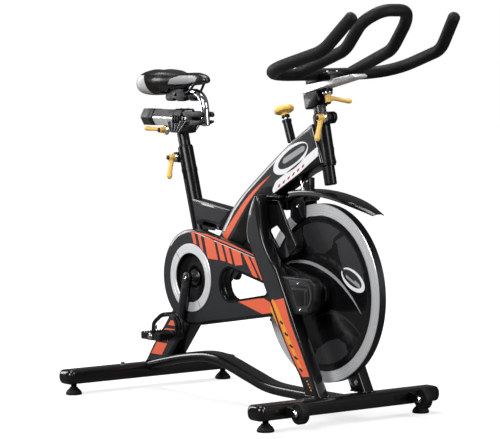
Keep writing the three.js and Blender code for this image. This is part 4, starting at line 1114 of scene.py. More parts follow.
    # toe clip: a bent plastic loop with a strap round the shoe and a buckle
    clip_line = [(46, -6), (58, -6), (78, 2), (84, 18), (80, 40), (66, 56), (48, 62), (30, 62.5)]
    rails = []
    for offset, wide in ((-15, 7), (15, 7), (0, 5)):
        centres = smooth_line([at(ex + x, middle + offset * (1 if x < 60 else 0.8), ez + z)
                               for x, z in clip_line], 6)
        rails.append(sweep("rail", centres, rounded_rectangle(wide, 2.6, 1.2, 3), PLASTIC, up=-AHEAD))
    for x, z in ((83, 20), (60, 59), (34, 62.5)):
        rails.append(block("bridge", (ex + x - 3, middle - 17, ez + z - 1.3),
                           (ex + x + 3, middle + 17, ez + z + 1.3), PLASTIC, 1))
    belongs(join(f"toe_clip_{word}", rails), f"pedal_{word}", "black_plastic", f"toe_cage_{word}")
    strap_line = fillet([at(ex + 12, middle - 41, ez + 9), at(ex + 16, middle - 42, ez + 40),
                         at(ex + 26, middle - 22, ez + 62),
                         at(ex + 26, middle + 22, ez + 62), at(ex + 16, middle + 42, ez + 40),
                         at(ex + 12, middle + 41, ez + 9)],
                        0.02, 6, closed=False)
    strap = sweep("strap", strap_line, rounded_rectangle(13, 1.8, 0.8, 2), STRAP, up=AHEAD)
    buckle = block("buckle", (ex + 6, middle + side * 38 - 3, ez + 22),
                   (ex + 22, middle + side * 38 + 4, ez + 34), STEEL, 1.2)
    belongs(join(f"toe_strap_{word}", [strap, buckle]), f"pedal_{word}", "black_plastic")

# ---------- flywheel ----------
rim = [(206, -5), (206, -12.2), (207, -13), (240.4, -13), (242, -11.6), (242, 11.6), (240.4, 13), (207, 13),
       (206, 12.2), (206, 5), (206, -5)]
hub = [(10.4, -56), (29, -56), (29, -45), (17, -45), (17, -33), (28, -33), (30, -31), (30, 31), (28, 33),
       (17, 33), (17, 50), (10.4, 50), (10.4, -56)]
wheel = [turned("hub", hub, WHEEL, ACROSS, ALUMINIUM, 56, 25),
         turned("rim", rim, WHEEL, ACROSS, RIM, 160, 25),
         turned("tread", [(241.6, -11.2), (242.15, -11), (242.15, 11), (241.6, 11.2), (241.6, -11.2)], WHEEL,
                ACROSS, DARK_STEEL, 160, 25),
         turned("web", [(30.4, -5), (206.2, -5), (206.2, 5), (30.4, 5), (30.4, -5)], WHEEL, ACROSS,
                DARK_STEEL, 96, 25)]
belongs(join("flywheel_disc", wheel), "flywheel", "wheel_steel", "flywheel")
for word, side in SIDES:
    cover = [(30.4, 13.4), (210.9, 13.4), (211, 14), (210.2, 15.4), (208, 16.4), (196, 16.4), (194, 15.9),
             (60, 15.9), (56, 16.4), (30.4, 16.4), (30.4, 13.4)]
    profile = [(r, side * y) for r, y in cover]
    belongs(turned(f"flywheel_cover_{word}_disc", profile, WHEEL, ACROSS, GLOSS_PLASTIC, 120, 25),
            "flywheel", "guard_plastic", f"flywheel_cover_{word}")


def on_cover(name, outline, material, proud=0.35, lift=0.0, holes=()):
    return belongs(on_right(name, outline, COVER_FACE - lift, material, proud, holes), "flywheel",
                   "guard_plastic")


patch = [*wheel_arc(192, 58, 8, 16), (500, 372), (470, 410), (452, 452), (446, 480), (436, 486)]
on_cover("cover_patch_front", patch, GREY)
patch = [*wheel_arc(192, 112, 63, 14), (432, 494), (424, 470), (396, 452), (352, 446), (318, 470), (300, 500)]
on_cover("cover_patch_top", patch, GREY)
patch = [*wheel_arc(192, 150, 116, 12), (300, 486), (300, 456), (262, 440), (230, 436)]
on_cover("cover_patch_rear", patch, DARK_GREY)
on_cover("cover_streak", [(318, 470), (350, 452), (414, 448), (452, 430), (470, 412), (462, 404), (420, 424),
                          (360, 434), (312, 456)], LINING, lift=0.1)
bars = [[(372, 446), (402, 442), (404, 434), (374, 438)], [(412, 440), (440, 432), (440, 424), (412, 432)],
        [(452, 426), (520, 392), (518, 384), (450, 417)],
        [(330, 470), (352, 458), (350, 449), (326, 461)]]
for i, b in enumerate(bars):
    on_cover(f"cover_bar_{i}", b, DARK_GREY, lift=0.2)
sweep_top = strip(smooth_line(((196, 398), (256, 420), (340, 420), (430, 392), (500, 346), (546, 300)), 8),
                  [1 + 9 * math.sin(math.pi * min(1, i / 40)) for i in range(41)])
on_cover("cover_sweep_top", sweep_top, SILVER, lift=0.15)
sweep_low = strip(smooth_line(((364, 280), (410, 292), (470, 286), (520, 262), (548, 236)), 8),
                  [1 + 6 * math.sin(math.pi * i / 32) for i in range(33)])
on_cover("cover_sweep_low", sweep_low, GREY, lift=0.15)
patch = [*wheel_arc(192, -100, -52, 14), (480, 214), (448, 226), (404, 214), (360, 190)]
on_cover("cover_patch_low", patch, GREY)
on_cover("cover_emblem", ellipse(512, 388, 52, 26, -24), WHITE, holes=[ellipse(508, 391, 43, 18, -24)],
         lift=0.15)
on_cover("cover_emblem_bar", fillet([(482, 402), (492, 402), (540, 378), (542, 368), (532, 370), (482, 394)],
                                    4, 3), SILVER, lift=0.15)

axle = [(0, -82), (8.6, -82), (9.8, -80.8), (9.8, 80.8), (8.6, 82), (0, 82)]
belongs(turned("flywheel_axle_bar", axle, WHEEL, ACROSS, STEEL, 32, 25), "frame", "chrome", "flywheel_axle")

# axle housings in front of the fork legs: ribbed covers with two screws and a rounded nose
nose_widths = [3 + 5 * math.sin(math.pi * i / 16) for i in range(17)]
HOUSING = [(352, 288), (400, 290), (430, 300), (434, 330), (434, 380), (414, 388), (290, 388), (296, 378)]


def raised(name, outline, side, height, material, ease=0.6):
    """A part standing a height proud of an axle cover's outer face."""
    low, high = sorted((side * 89.5, side * (90 + height)))
    return plate(name, outline, low, high, material, ease)


for word, side in SIDES:
    low, high = sorted((side * 62, side * 90))
    line = fillet(HOUSING, [8, 6, 14, 30, 18, 10, 2, 4], 4)
    shell = [plate("shell", line, low, high, PLASTIC, 3)]
    outer_face = side * 90
    shell += [
        raised("frame", fillet([(330, 380), (412, 380), (412, 300), (368, 296)], 3, 3), side, 0.8,
               GREY_PLASTIC, 0.3),
        raised("lid", fillet([(342, 358), (396, 358), (396, 314), (366, 312)], 3, 3), side, 1.6, PLASTIC),
        raised("rib_a", fillet([(338, 368), (408, 368), (408, 363), (340, 363)], 1.5, 3), side, 1.8, PLASTIC),
        raised("rib_b", fillet([(400, 356), (409, 356), (409, 316), (400, 316)], 1.5, 3), side, 1.8, PLASTIC),
        raised("nose", strip(arc(384, 342, 42, -48, 48, 16), nose_widths), side, 1.4, GREY_PLASTIC, 0.5),
    ]
    shell.append(bolt("screw", at(372, outer_face + side * 1.2, 374), ACROSS * side, 4.2, 2.4, CHROME))
    shell.append(bolt("screw", at(380, outer_face + side * 1.2, 303), ACROSS * side, 4.2, 2.4, CHROME))
    belongs(join(f"axle_mount_{word}_shell", shell), "frame", "black_plastic", f"axle_mount_{word}")

# ---------- brake and sweat guard ----------
shoe_top = wheel_arc(263.6, 98.6, 120.5, 16)
pad_line = wheel_arc(251.6, 119.5, 99.4, 14) + wheel_arc(255, 99.4, 119.5, 14)
shoe = [plate("holder", wheel_arc(254.8, 120.3, 98.8, 16) + shoe_top, -17, 17, PLASTIC, 1.2),
        plate("felt", pad_line, -16, 16, GREY_PLASTIC, 0.8)]
belongs(join("brake_shoe_block", shoe), "brake_shoe", "satin_paint", "brake_shoe")
# the caliper plate bent over the shoe, with a cheek down each side of the rim and a cross screw
cheek_line = [Vector(p) for p in wheel_arc(268.3, 102.9, 116.5, 10)]
cheek_line += fillet([(254, 572), (252, 543), (281, 524), (313, 545), (313, 590)], [4, 10, 12, 12, 3], 4)
caliper = [plate("cheek", cheek_line, low, high, BLACK, 1.2) for low, high in ((-23.4, -17.5), (17.5, 23.4))]
bridge = wheel_arc(264.2, 103, 115.6, 12) + wheel_arc(268.3, 115.6, 103, 12)
caliper.append(plate("bridge", bridge, -22, 22, BLACK, 0.6))
caliper += [bolt("screw", at(286, s * 23.3, 574), ACROSS * s, 6.5, 3, CHROME) for s in (-1, 1)]
belongs(join("brake_caliper_plate", caliper), "brake_shoe", "satin_paint", "brake_caliper")

rod_line = [(0, -96), (5, -96), (5.9, -95), (5.9, -60), (5.9, 112), (5.9, 160), (5, 163), (0, 164)]
belongs(turned("brake_rod_bar", rod_line, BRAKE_AT, BRAKE_DOWN, CHROME, 32, 25), "brake_rod", "chrome",
        "brake_rod")
sleeve = [(7.6, -72), (11, -72), (12, -71), (12, -10), (7.6, -10), (7.6, -72)]
collar = [(7.6, -74.6), (10, -75), (13.4, -73.8), (13.4, -68), (12.1, -67), (7.6, -67), (7.6, -74.6)]
painted(join("brake_sleeve", [turned("tube", sleeve, BRAKE_AT, BRAKE_DOWN, SATIN, 40, 25),
                              turned("collar", collar, BRAKE_AT, BRAKE_DOWN, PLASTIC, 40, 25)]))
scallop = lambda angle, radius: 1 - (0.045 * (0.5 - 0.5 * math.cos(8 * angle)) if radius > 22 else 0)
knob = [(6.4, -82.4), (9.4, -82.4), (10.2, -83.5), (10.8, -91), (14, -94), (23, -95.4), (26.8, -97.5),
        (28.2, -101.5), (27.8, -105.5),
        (26, -109), (21.5, -112.4), (14, -114.6), (6, -115.5), (0, -115.7)]
belongs(turned("brake_knob_cap", [(0, -97), (6.4, -97)] + knob, BRAKE_AT, BRAKE_DOWN, AMBER, 96, 30, scallop),
        "brake_knob", "amber_plastic", "brake_knob")
belongs(turned("brake_knob_collar", [(6.4, -80.4), (10.8, -80.4), (11.6, -81.4), (11.6, -86), (10.6, -87),
                                     (6.4, -87), (6.4, -80.4)],
               BRAKE_AT, BRAKE_DOWN, PLASTIC, 40, 25), "brake_knob", "amber_plastic")


def sweat_shield(steps=26, half_width=34, taper_from=0.72, crown=3.0, wall=2.6):
    """A curved shield over the wheel: crowned across, with side skirts, drawn out to a drooping point."""
    top = curve_points((256, 613), (420, 637), (599, 566), steps)
    rings = []
    for i, p in enumerate(top):
        t = i / steps
        ahead = (top[min(i + 1, steps)] - top[max(i - 1, 0)]).normalized()
        up = Vector((-ahead.y, ahead.x))
        half = half_width
        if t >= taper_from:
            half -= 15 * ((t - taper_from) / (1 - taper_from)) ** 1.6
        skirt = 13.5 * (1 - 0.72 * t ** 3)
        edge = [(half, -skirt), (half, -skirt * 0.55), (half - 0.8, -min(3.2, skirt * 0.35)),
                (half - 4, -0.4 + crown * 0.3), (half * 0.6, crown * 0.75)]
        outer = [(-a, b) for a, b in edge] + [(0, crown)] + edge[::-1]
        inner = [(a * (1 - wall / half), b - (wall if abs(a) < half - 2 else 0)) for a, b in outer[::-1]]
        inner[0] = (half - 2.4, -skirt)
        inner[-1] = (-half + 2.4, -skirt)
        rings.append([at(p.x + up.x * b, a, p.y + up.y * b) for a, b in outer + inner])
    return loft("shield", rings, GLOSS_PLASTIC, smooth=38)


shield = sweat_shield()
bracket = [block("boss", (290, -10, 616), (320, 10, 652), BLACK, 2),
           block("foot", (284, -16, 615), (326, 16, 620), BLACK, 1.5),
           bolt("screw", at(296, -10, 636), -ACROSS, 4, 3, STEEL),
           bolt("screw", at(312, -10, 642), -ACROSS, 4, 3, STEEL)]
belongs(join("sweat_shield", [shield, *bracket]), "frame", "black_plastic", "sweat_guard")
arms = []
for side in (-1, 1):
    arm_line = [at(x, side * 30.2, z) for x, z in ((240, 584), (262, 597), (300, 607), (352, 606),
                                                   (384, 603))]
    section = rounded_rectangle(1.6, 9, 0.7, 2)
    arms.append(sweep("arm", smooth_line(arm_line, 6), section, BLACK, up=UPRIGHT))
painted(join("sweat_shield_arms", arms))
lip = curve_points((262, 604), (420, 629), (592, 561), 26)[:19]
lip_line = strip(lip, [8.5] * 10 + [8.5 - 0.9 * i for i in range(9)])
belongs(on_right("sweat_shield_lip", lip_line, -34, GREY_PLASTIC, 0.4), "frame", "black_plastic")

# ---------- seat: post, carriage, rail, pillar ----------
low = seat_point(470)
reach = (seat_point(757) - low).length / MM
post = [turned("post", [(0, 0), (15.5, 0), (17, 1.5), (17, reach), (0, reach)], low, SEAT_UP, SATIN, 56, 25)]
RAIL_Z = 799.5


def rail_bar(name, section, x0, x1, material, ease=0.8, smooth=30):
    """A bar along x whose section is drawn in y and height, with eased ends."""
    rings = []
    for x, inset in ((x0, ease), (x0 + ease, 0), (x1 - ease, 0), (x1, ease)):
        rings.append([at(x, a * (1 - inset / 24), RAIL_Z + b * (1 - inset / 22)) for a, b in section])
    return loft(name, rings, material, smooth=smooth)


HEX = [(-12, -22.5), (12, -22.5), (24, -2.25), (24, 2.25), (12, 22.5), (-12, 22.5), (-24, 2.25), (-24, -2.25)]
outer = fillet([(-27, -39), (27, -39), (33, 0), (20, 27), (-20, 27), (-33, 0)], [8, 8, 12, 8, 8, 12], 5)
inner = fillet([(a * 1.03, b * 1.03) for a, b in HEX], 3, 3)


def framed_bar(name, outer, inner, x0, x1, material):
    """A collar along x: a ring-shaped section drawn in y and height."""
    bm = extruded(name, (outer, inner), x1 - x0, 1)
    middle = at((x0 + x1) / 2, 0, RAIL_Z)
    for vertex in bm.verts:
        across, up, depth = vertex.co
        vertex.co = middle + Vector((depth, across, up))
    return object_of(name, bm, material, 40)


carriage = [framed_bar("collar", outer, inner, -286, -248, PLASTIC),
            plate("foot", fillet([(-300, 763), (-262, 755), (-250, 757), (-250, 774.5), (-312, 774.5)],
                                 [8, 3, 3, 2, 4], 4), -24, 24, BLACK, 3)]
for x in (-279, -267, -255):
    carriage.append(block("rib", (x - 1.6, -35, RAIL_Z - 14), (x + 1.6, -31, RAIL_Z + 10), PLASTIC, 1))
for y in (-12, 12):
    carriage.append(bolt("screw", at(-267, y, RAIL_Z + 26.6), UPRIGHT, 4, 2.6, STEEL))
# fan of ribs from the collar down to the post, on both sides
for s in (-1, 1):
    for i in range(9):
        foot, head = Vector((-300 + i * 5.5, 760)), Vector((-313 + i * 11.5, 792))
        a, b = sorted((s * 27.5, s * 31.5))
        carriage.append(plate("fan", strip([foot, head], [1.2, 2.4]), a, b, GREY_PLASTIC if i % 2 else SILVER,
                              0.4))
    a, b = sorted((s * 24, s * 28.5))
    carriage.append(plate("web", fillet([(-300, 758), (-250, 757), (-248, 792), (-284, 792), (-313, 788)],
                                        [6, 4, 2, 2, 6], 4), a, b, PLASTIC, 1))
for i in range(6):
    line = [(16.9, -0.25), (17.08, -0.25), (17.08, 0.25), (16.9, 0.25), (16.9, -0.25)]
    carriage.append(turned("tick", line, seat_point(724 + i * 5), SEAT_UP, GREY, 56, 25))
belongs(join("seat_post_carriage", post + carriage), "seat_post", "satin_paint", "seat_post")



def on_facet(start, end, out, height):
    """The section of a strip lying on a facet from start to end, standing a height proud of it."""
    corners = ((start, -0.4), (end, -0.4), (end, height), (start, height))
    return [(p.x + out.x * lift, p.y + out.y * lift) for p, lift in corners]


slide_parts = [rail_bar("bar", fillet(HEX, 2.5, 3), -396, -246, POLISHED, 1)]
# graphite cover on each upper slanted facet, with fine ribs along it
for side in (-1, 1):
    top, bottom = Vector((side * 12, 22.5)), Vector((side * 24, 2.25))
    run = top - bottom
    out = Vector((run.y, -run.x)).normalized() * side
    out = out if out.y > 0 else -out
    slide_parts.append(rail_bar("facet", on_facet(top, bottom, out, 0.3), -395, -248, PLASTIC, 0.3))
    for i in range(6):
        start = 0.06 + i * 0.15
        section = on_facet(top.lerp(bottom, start), top.lerp(bottom, start + 0.09), out, 0.7)
        slide_parts.append(rail_bar("rib", section, -395, -248, GREY_PLASTIC, 0.3))
slide_parts.append(rail_bar("lid", fillet([(-11.5, 22), (11.5, 22), (11.5, 23.2), (-11.5, 23.2)], 0.4, 2),
                            -395, -248, GREY_PLASTIC, 0.3))
belongs(join("seat_rail_bar", slide_parts), "seat_slide", "silver_metal", "seat_rail")
cap = fillet([(-15, -24), (15, -24), (27, -2), (27, 2), (15, 24), (-15, 24), (-27, 2), (-27, -2)], 4, 4)
belongs(join("seat_rail_endcap", [rail_bar("band", cap, -410, -396.4, PLASTIC, 1.2),
                                  rail_bar("cap", cap, -454, -410.4, GREY_PLASTIC, 4)]),
        "seat_slide", "black_plastic", "seat_rail_cap")

pillar_line = fillet([at(-163, 0, 779), at(-172, 0, 872), at(-286, 0, 872)], 0.082, 16, closed=False)
pillar = [tube("pillar", pillar_line, 12.3, CHROME, 36),
          turned("drum", [(0, -15), (13.6, -15), (15, -13.8), (15, 13.8), (13.6, 15), (0, 15)],
                 at(-274, 0, 872), ACROSS, CHROME, 48, 25)]
belongs(join("seat_pillar_tube", pillar), "seat_slide", "chrome", "seat_pillar")
fork_top = [(-246, RAIL_Z - 20), (-212, RAIL_Z - 20.5), (-183, RAIL_Z - 20), (-152, RAIL_Z - 10),
            (-156, RAIL_Z - 4.6), (-208, RAIL_Z - 4),
            (-213, RAIL_Z), (-208, RAIL_Z + 4), (-156, RAIL_Z + 4.6), (-150, RAIL_Z + 11),
            (-158, RAIL_Z + 20), (-218, RAIL_Z + 20.5), (-246, RAIL_Z + 20)]
prongs = [plate("prong", fillet(fork_top, [1, 6, 12, 5, 4, 3, 3, 3, 4, 5, 10, 6, 1], 3), low, high, PLASTIC,
                2) for low, high in ((-23.5, -13.4), (13.4, 23.5))]
prongs.append(block("web", (-245.6, -22, RAIL_Z - 19), (-203, 22, RAIL_Z + 19), PLASTIC, 2.5))
prongs += [bolt("screw", at(-232, s * 22, RAIL_Z), ACROSS * s, 4.4, 2.6, STEEL) for s in (-1, 1)]
belongs(join("seat_fork_prongs", prongs), "seat_slide", "black_plastic", "seat_rail_fork")

# saddle clamp, rails and cover
clamp_line = fillet([(-315, 848.5), (-285, 848.5), (-274, 857), (-263, 848.5), (-232, 848.5), (-224.5, 860),
                     (-238, 883.5), (-310, 883.5), (-322.5, 860)],
                    [12, 10, 8, 10, 12, 10, 8, 8, 10], 4)
clamp = [plate("cheek", clamp_line, low, high, PLASTIC, 3) for low, high in ((-30, -15.6), (15.6, 30))]
clamp.append(block("bridge", (-313, -20, 857), (-299, 20, 879), PLASTIC, 2))
clamp += [bolt("nut", at(-274, s * 30, 868), ACROSS * s, 6, 4, DARK_STEEL, False) for s in (-1, 1)]
belongs(join("saddle_clamp_body", clamp), "saddle", "dark_steel", "saddle_clamp")
rails = []
for s in (-1, 1):
    line = fillet([at(-392, s * 30, 884), at(-362, s * 22, 872), at(-220, s * 22, 872),
                   at(-190, s * 16, 903)], 0.03, 10, closed=False)
    rails.append(tube("rail", line, 3.6, DARK_STEEL, 20))
rails.append(tube("nose", [at(-191, -17, 902.5), at(-191, 0, 902.5), at(-191, 17, 902.5)], 3.6, DARK_STEEL,
                  20))
belongs(join("saddle_rail_bars", rails), "saddle", "dark_steel", "saddle_rails")

# saddle stations: x, half width, height of the crown, height of the widest line, height of the skirt's edge
SADDLE = [(-411.5, 60, 918, 894, 868), (-407, 73, 928, 898, 863), (-396, 82, 935, 901, 861.5),
          (-376, 86, 940, 902, 861),
          (-354, 83, 939.5, 903, 862), (-332, 75, 938, 904, 864.5), (-308, 59, 935, 905, 873),
          (-286, 47, 932.5, 907, 880),
          (-260, 34.5, 930.5, 908, 889), (-230, 28, 931, 909, 892.5), (-200, 25, 931.5, 909.5, 895),
          (-176, 22.5, 929.5, 909, 897),
          (-158, 17, 925, 907, 899), (-148, 10, 917, 906, 901)]


def saddle_ring(x, half, crown, wide, skirt, shrink=0.0, steps=44):
    """One section of the saddle: a soft crown above the widest line and full flanks down to a tucked hem."""
    points = []
    for i in range(steps):
        angle = 2 * math.pi * i / steps
        c, s = math.cos(angle), math.sin(angle)
        y = (half - shrink) * math.copysign(abs(c) ** 0.7, c)
        if s >= 0:
            groove = 2.4 * math.exp(-(y / 8) ** 2) * min(1, max(0, (half - 20) / 30))
            z = wide + (crown - shrink - wide) * s ** 0.85 - groove
        else:
            z = wide - (wide - skirt - shrink) * (-s) ** 0.6
            y *= 1 - 0.1 * (-s)
        points.append(at(x, y, z))
    return points


def under_saddle(pad):
    """Hollows the cushion underneath, for the clamp and the rails."""
    for vertex in pad.data.vertices:
        x, y, z = (vertex.co - ORIGIN) / MM
        room = max(0, 1 - (abs(y) / 40) ** 4) * max(0, 1 - (abs(x + 301) / 84) ** 6)
        floor = 868 + 25 * room
        if room > 0 and z < floor and z < 896:
            vertex.co.z = ORIGIN.z + floor * MM


SWELL = 2.3  # the most that the simulation may move the cushion, in mm; the form starts 2.4 mm small
COVER_FINISHES = (VINYL, VINYL_SILVER, VINYL_GREY, VINYL_WHITE)


def padded_cover():
    """The saddle's cushion: a slack closed form, swelled by the cloth simulation and then smoothed."""
    rings = [saddle_ring(*station, shrink=2.4) for station in SADDLE]
    dense = []
    for i in range(len(rings[0])):
        dense.append(smooth_line([ring[i] for ring in rings], 4))
    rings = [[line[k] for line in dense] for k in range(len(dense[0]))]
    pad = loft("saddle_cover", rings, VINYL, smooth=180)
    for finish in COVER_FINISHES[1:]:
        pad.data.materials.append(finish)
    bpy.context.view_layer.objects.active = pad
    remesh = pad.modifiers.new("remesh", "REMESH")
    remesh.mode = "VOXEL"
    remesh.voxel_size = 0.0042
    apply(pad)
    start = [v.co.copy() for v in pad.data.vertices]
    cloth = pad.modifiers.new("cloth", "CLOTH")
    cloth.settings.quality = 6
    cloth.settings.mass = 0.3
    cloth.settings.use_pressure = True
    cloth.settings.uniform_pressure_force = 4
    cloth.settings.tension_stiffness = 40
    cloth.settings.bending_stiffness = 4
    cloth.settings.effector_weights.gravity = 0
    scene = bpy.context.scene
    scene.frame_start, scene.frame_end = 1, 20
    for number in range(1, 21):
        scene.frame_set(number)
    apply(pad)
    scene.frame_set(1)
    for vertex, before in zip(pad.data.vertices, start):
        moved = vertex.co - before
        if moved.length > SWELL * MM:
            vertex.co = before + moved.normalized() * SWELL * MM
    under_saddle(pad)
    soften = pad.modifiers.new("soften", "SMOOTH")
    soften.factor, soften.iterations = 0.5, 6
    divide = pad.modifiers.new("divide", "SUBSURF")
    divide.levels = divide.render_levels = 1
    apply(pad)
    return pad


def apply(obj):
    """Turns an object's modifiers into its mesh."""
    bpy.context.view_layer.update()
    made = bpy.data.meshes.new_from_object(obj.evaluated_get(bpy.context.evaluated_depsgraph_get()))
    obj.modifiers.clear()
    old = obj.data
    obj.data = made
    bpy.data.meshes.remove(old)
    for polygon in obj.data.polygons:
        polygon.use_smooth = True


def inside(outline, x, z):
    """Whether a point lies in an outline."""
    odd = False
    for (x1, z1), (x2, z2) in zip(outline, outline[1:] + outline[:1]):
        if (z1 > z) != (z2 > z) and x < x1 + (z - z1) * (x2 - x1) / (z2 - z1):
            odd = not odd
    return odd


SIDE_PANEL = [(-290, 897), (-282, 913), (-258, 922), (-204, 923), (-180, 916), (-188, 906), (-232, 898)]
SKIRT_PANEL = [(-318, 893), (-286, 892), (-232, 894), (-180, 903), (-150, 903), (-150, 880), (-318, 860)]
cover = padded_cover()
for polygon in cover.data.polygons:
    x, y, z = (polygon.center - ORIGIN) / MM
    flank = abs(polygon.normal.y) > 0.35
    if x < -338 - 0.4 * (z - 866) - 0.25 * (85 - abs(y)) and z < 923:
        polygon.material_index = COVER_FINISHES.index(VINYL_WHITE)
    elif flank and inside(SIDE_PANEL, x, z):
        polygon.material_index = COVER_FINISHES.index(VINYL_SILVER)
    elif flank and inside(SKIRT_PANEL, x, z):
        polygon.material_index = COVER_FINISHES.index(VINYL_GREY)
belongs(cover, "saddle", "saddle_cover", "saddle")

# ---------- handlebar: post, tilted slide, foam-covered bars ----------
low = head_point(636)
reach = (head_point(856) - low).length / MM
post = [turned("post", [(0, 0), (15.5, 0), (17, 1.5), (17, reach), (0, reach)], low, HEAD_UP, SATIN, 56, 25)]
line = [(16.9, -0.35), (17.12, -0.35), (17.12, 0.35), (16.9, 0.35), (16.9, -0.35)]
post += [turned("tick", line, head_point(829 + i * 4), HEAD_UP, SILVER, 56, 25) for i in range(5)]


def rail_plate(name, outline, low, high, material, ease, holes=()):
    """A plate drawn along and above the tilted slide."""
    made = plate(name, outline, low, high, material, ease, holes)
    shift = Matrix.Translation(RAIL_AT) @ Matrix.Rotation(-math.radians(12.2), 4,
                                                          "Y") @ Matrix.Translation(-ORIGIN)
    made.data.transform(shift)
    return made


post.append(rail_plate("head", fillet([(1, -43), (46, -43), (63, -30), (63, -0.8), (1, -0.8)],
                                      [8, 12, 8, 2, 2], 4), -21, 21, SATIN, 2.5))
post.append(rail_plate("tongue", fillet([(60, -9), (91, -9), (91, -0.8), (60, -0.8)], 1, 2), -12, 12, SATIN,
                       0.8))
belongs(join("handlebar_post_bar", post), "handlebar_post", "satin_paint", "handlebar_post")

slide_line = fillet([(0.5, 0.8), (225.6, 0.8), (227.4, 5), (220, 11), (4, 23.8), (0.5, 22)],
                    [2, 2, 2, 3, 3, 2], 3)
slide = [rail_plate("slide", slide_line, -23, 23, POLISHED, 2)]
belongs(join("handlebar_slide_wedge", slide), "handlebar", "chrome", "handlebar_slide")

HALF = [(371, 0, 932), (371, -232, 932), (618, -201, 997), (707, -172, 1089)]
outer_line = [(x, -y, z) for x, y, z in HALF[::-1]][:3] + HALF[1:]
LOOP = [(372, -92, 934), (560, -80, 998), (622, -76, 1070), (664, -42, 1101)]
loop_line = LOOP + [(x, -y, z) for x, y, z in LOOP[::-1]]


def foam_bar(name, points, radii, dome=0.62):
    """A foam-covered bar with rounded bends and rounded ends."""
    line = fillet([at(*p) for p in points], [0] + [r * MM for r in radii] + [0], 12, closed=False)
    dense = []
    for a, b in zip(line, line[1:]):
        steps = max(1, int((b - a).length / (9 * MM)))
        dense += [a.lerp(b, k / steps) for k in range(steps)]
    dense.append(line[-1])
    return tube(name, dense, 16.5, FOAM, 36, dome)


bars = [foam_bar("outer", outer_line, [105, 120, 120, 105]),
        foam_bar("loop", loop_line, [85, 80, 72, 72, 80, 85])]
for side in (-1, 1):
    end = Vector((707, side * 172, 1089))
    inward = (Vector((618, side * 201, 997)) - end).normalized()
    seam = [(16.3, -0.5), (16.62, -0.4), (16.62, 0.4), (16.3, 0.5), (16.3, -0.5)]
    bars.append(turned("seam", seam, at(*(end + inward * 26)), inward, PLASTIC, 48, 25))
belongs(join("handlebar_grips", bars), "handlebar", "foam_grip", "handlebar")
clamp = [rail_plate("clamp", fillet([(25, 23), (60, 20.6), (131, 16.6), (131, 30), (118, 40), (40, 41),
                                     (25, 36)], [1, 1, 1, 6, 10, 8, 4], 4),
                    -26, 26, PLASTIC, 3)]
for along in (44, 112):
    for y in (-17, 17):
        top = 41 if along < 60 else 39.2
        clamp.append(bolt("screw", on_rail(along, y, top - 0.8), RAIL_UP, 4.6, 3, STEEL))
belongs(join("handlebar_clamp", clamp), "handlebar", "black_plastic")


# ---------- clamp levers ----------
def lever_piece(name, body, point, outward, towards, node, screw, reach=62, extra=()):
    """A chrome cup and hub, an amber arm with a black cap, and the screw, seen along the screw's axis."""
    up = outward.normalized()
    along = (towards - up * towards.dot(up)).normalized()
    side = up.cross(along)

    def place(x, y, z):
        return point + (along * x + side * y + up * z) * MM

    cup = [(0, -0.2), (12.5, -0.2), (14.8, 1), (15, 3), (13.6, 6.5), (10.4, 8.8), (0, 8.8)]
    hub = [(0, 8), (9.6, 8), (9.6, 9.4), (8.8, 10.4), (8.8, 25), (9.4, 26), (9.4, 27), (8, 28), (0, 28)]
    cap = [(0, 27), (6.6, 27), (6.6, 29), (5.2, 31.5), (3, 33), (0, 33)]
    parts = [turned("cup", cup, point, up, CHROME, 48, 25), turned("hub", hub, point, up, AMBER, 48, 25),
             turned("cap", cap, point, up, PLASTIC, 40, 25),
             turned("screw", [(0, -screw), (3.9, -screw), (3.9, 1), (0, 1)], point, up, STEEL, 24)]
    line = smooth_line([place(2, 0, 17.5), place(18, 0, 20.5), place(38, 0, 27.5), place(reach, 0, 34)], 8)
    count = len(line)
    scales = [1.12 - 0.3 * math.sin(math.pi * i / (count - 1)) + 0.02 * i / count for i in range(count)]
    scales[-1], scales[-2], scales[-3] = 0.45, 0.82, 1.0
    flat = [(a * 1.2, b * 0.9) for a, b in circle(7.2, 28)]
    parts.append(sweep("arm", line, flat, AMBER, scales=scales))
    return belongs(join(name, [*parts, *extra]), body, "amber_plastic", node)


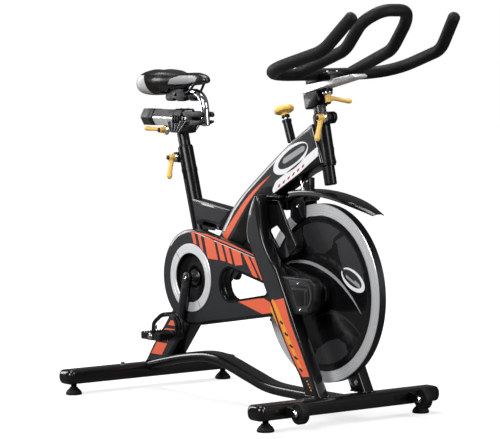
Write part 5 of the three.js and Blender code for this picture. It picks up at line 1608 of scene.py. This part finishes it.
FACE = 0.35
lever_piece("head_lever", "head_clamp_lever", at(396, -14 - FACE, 817), -ACROSS, Vector((0.1, 0, -1)),
            "head_clamp_lever", 26)
lever_piece("seat_lever", "seat_clamp_lever", at(-290, -14 - FACE, 686), -ACROSS, Vector((0.2, 0, -1)),
            "seat_clamp_lever", 26)
lever_piece("seat_slide_handle", "seat_slide_lever", at(-320, -24 - FACE, 765), -ACROSS,
            Vector((-1, 0, 0.06)), "seat_slide_lever", 44)
SCREW = -RAIL_UP
screw_at = on_rail(80, 0, 0)
nut = turned("nut", [(0, -6), (4.5, -6), (4.5, -1.2), (0, -1.2)], screw_at, SCREW, STEEL, 24, 25)
stem = turned("stem", [(0, -3), (3.9, -3), (3.9, 14), (0, 14)], screw_at, SCREW, STEEL, 24, 25)
lever_piece("handlebar_slide_handle", "handlebar_slide_lever", screw_at + SCREW * (9.4 + FACE) * MM, SCREW,
            Vector((0.6, 0.8, 0)),
            "handlebar_slide_lever", 6, extra=[nut, stem])

# the left copies include the painted highlight strips along the beam, link plate and leg edges
mirrored("strut_panel", "strut_graphics", "beam_panel", "beam_painted_highlight", "beam_stripe", "beam_band",
         "beam_ticks", "beam_emblem",
         "beam_emblem_bar", "link_panel", "link_painted_highlight", "leg_panel", "leg_orange", "leg_yellow",
         "leg_painted_highlight", "cover_patch_front",
         "cover_patch_top", "cover_sweep_top", "cover_sweep_low", "cover_emblem", "cover_emblem_bar")

# ---------- nodes that keep their CAD shape ----------
for name, material in (("bottom_bracket_shell", BLACK), ("chain_guard_back", PLASTIC),
                       ("drive_belt", RUBBER)):
    node = frame["nodes"][name]
    node.data.materials.clear()
    node.data.materials.append(material)
    for polygon in node.data.polygons:
        polygon.use_smooth = True
    bevel = node.modifiers.new("ease", "BEVEL")
    bevel.width = 0.6 * MM
    bevel.segments = 2
    bevel.limit_method = "ANGLE"
    weighted = node.modifiers.new("weighted", "WEIGHTED_NORMAL")
    weighted.keep_sharp = True

make_floor()
make_world()
make_camera()
area_light("key", at(900, -3200, 2200), at(50, 0, 500), 1.7, 120)
area_light("fill", at(3200, 900, 1500), at(100, 0, 600), 0.9, 50, 2.4)
area_light("top", at(-200, 100, 3000), at(0, 0, 500), 1.6, 70)
area_light("back", at(-2800, -1400, 1500), at(-100, 0, 600), 0.7, 50, 2.2)
bpy.context.scene.view_settings.view_transform = "Standard"
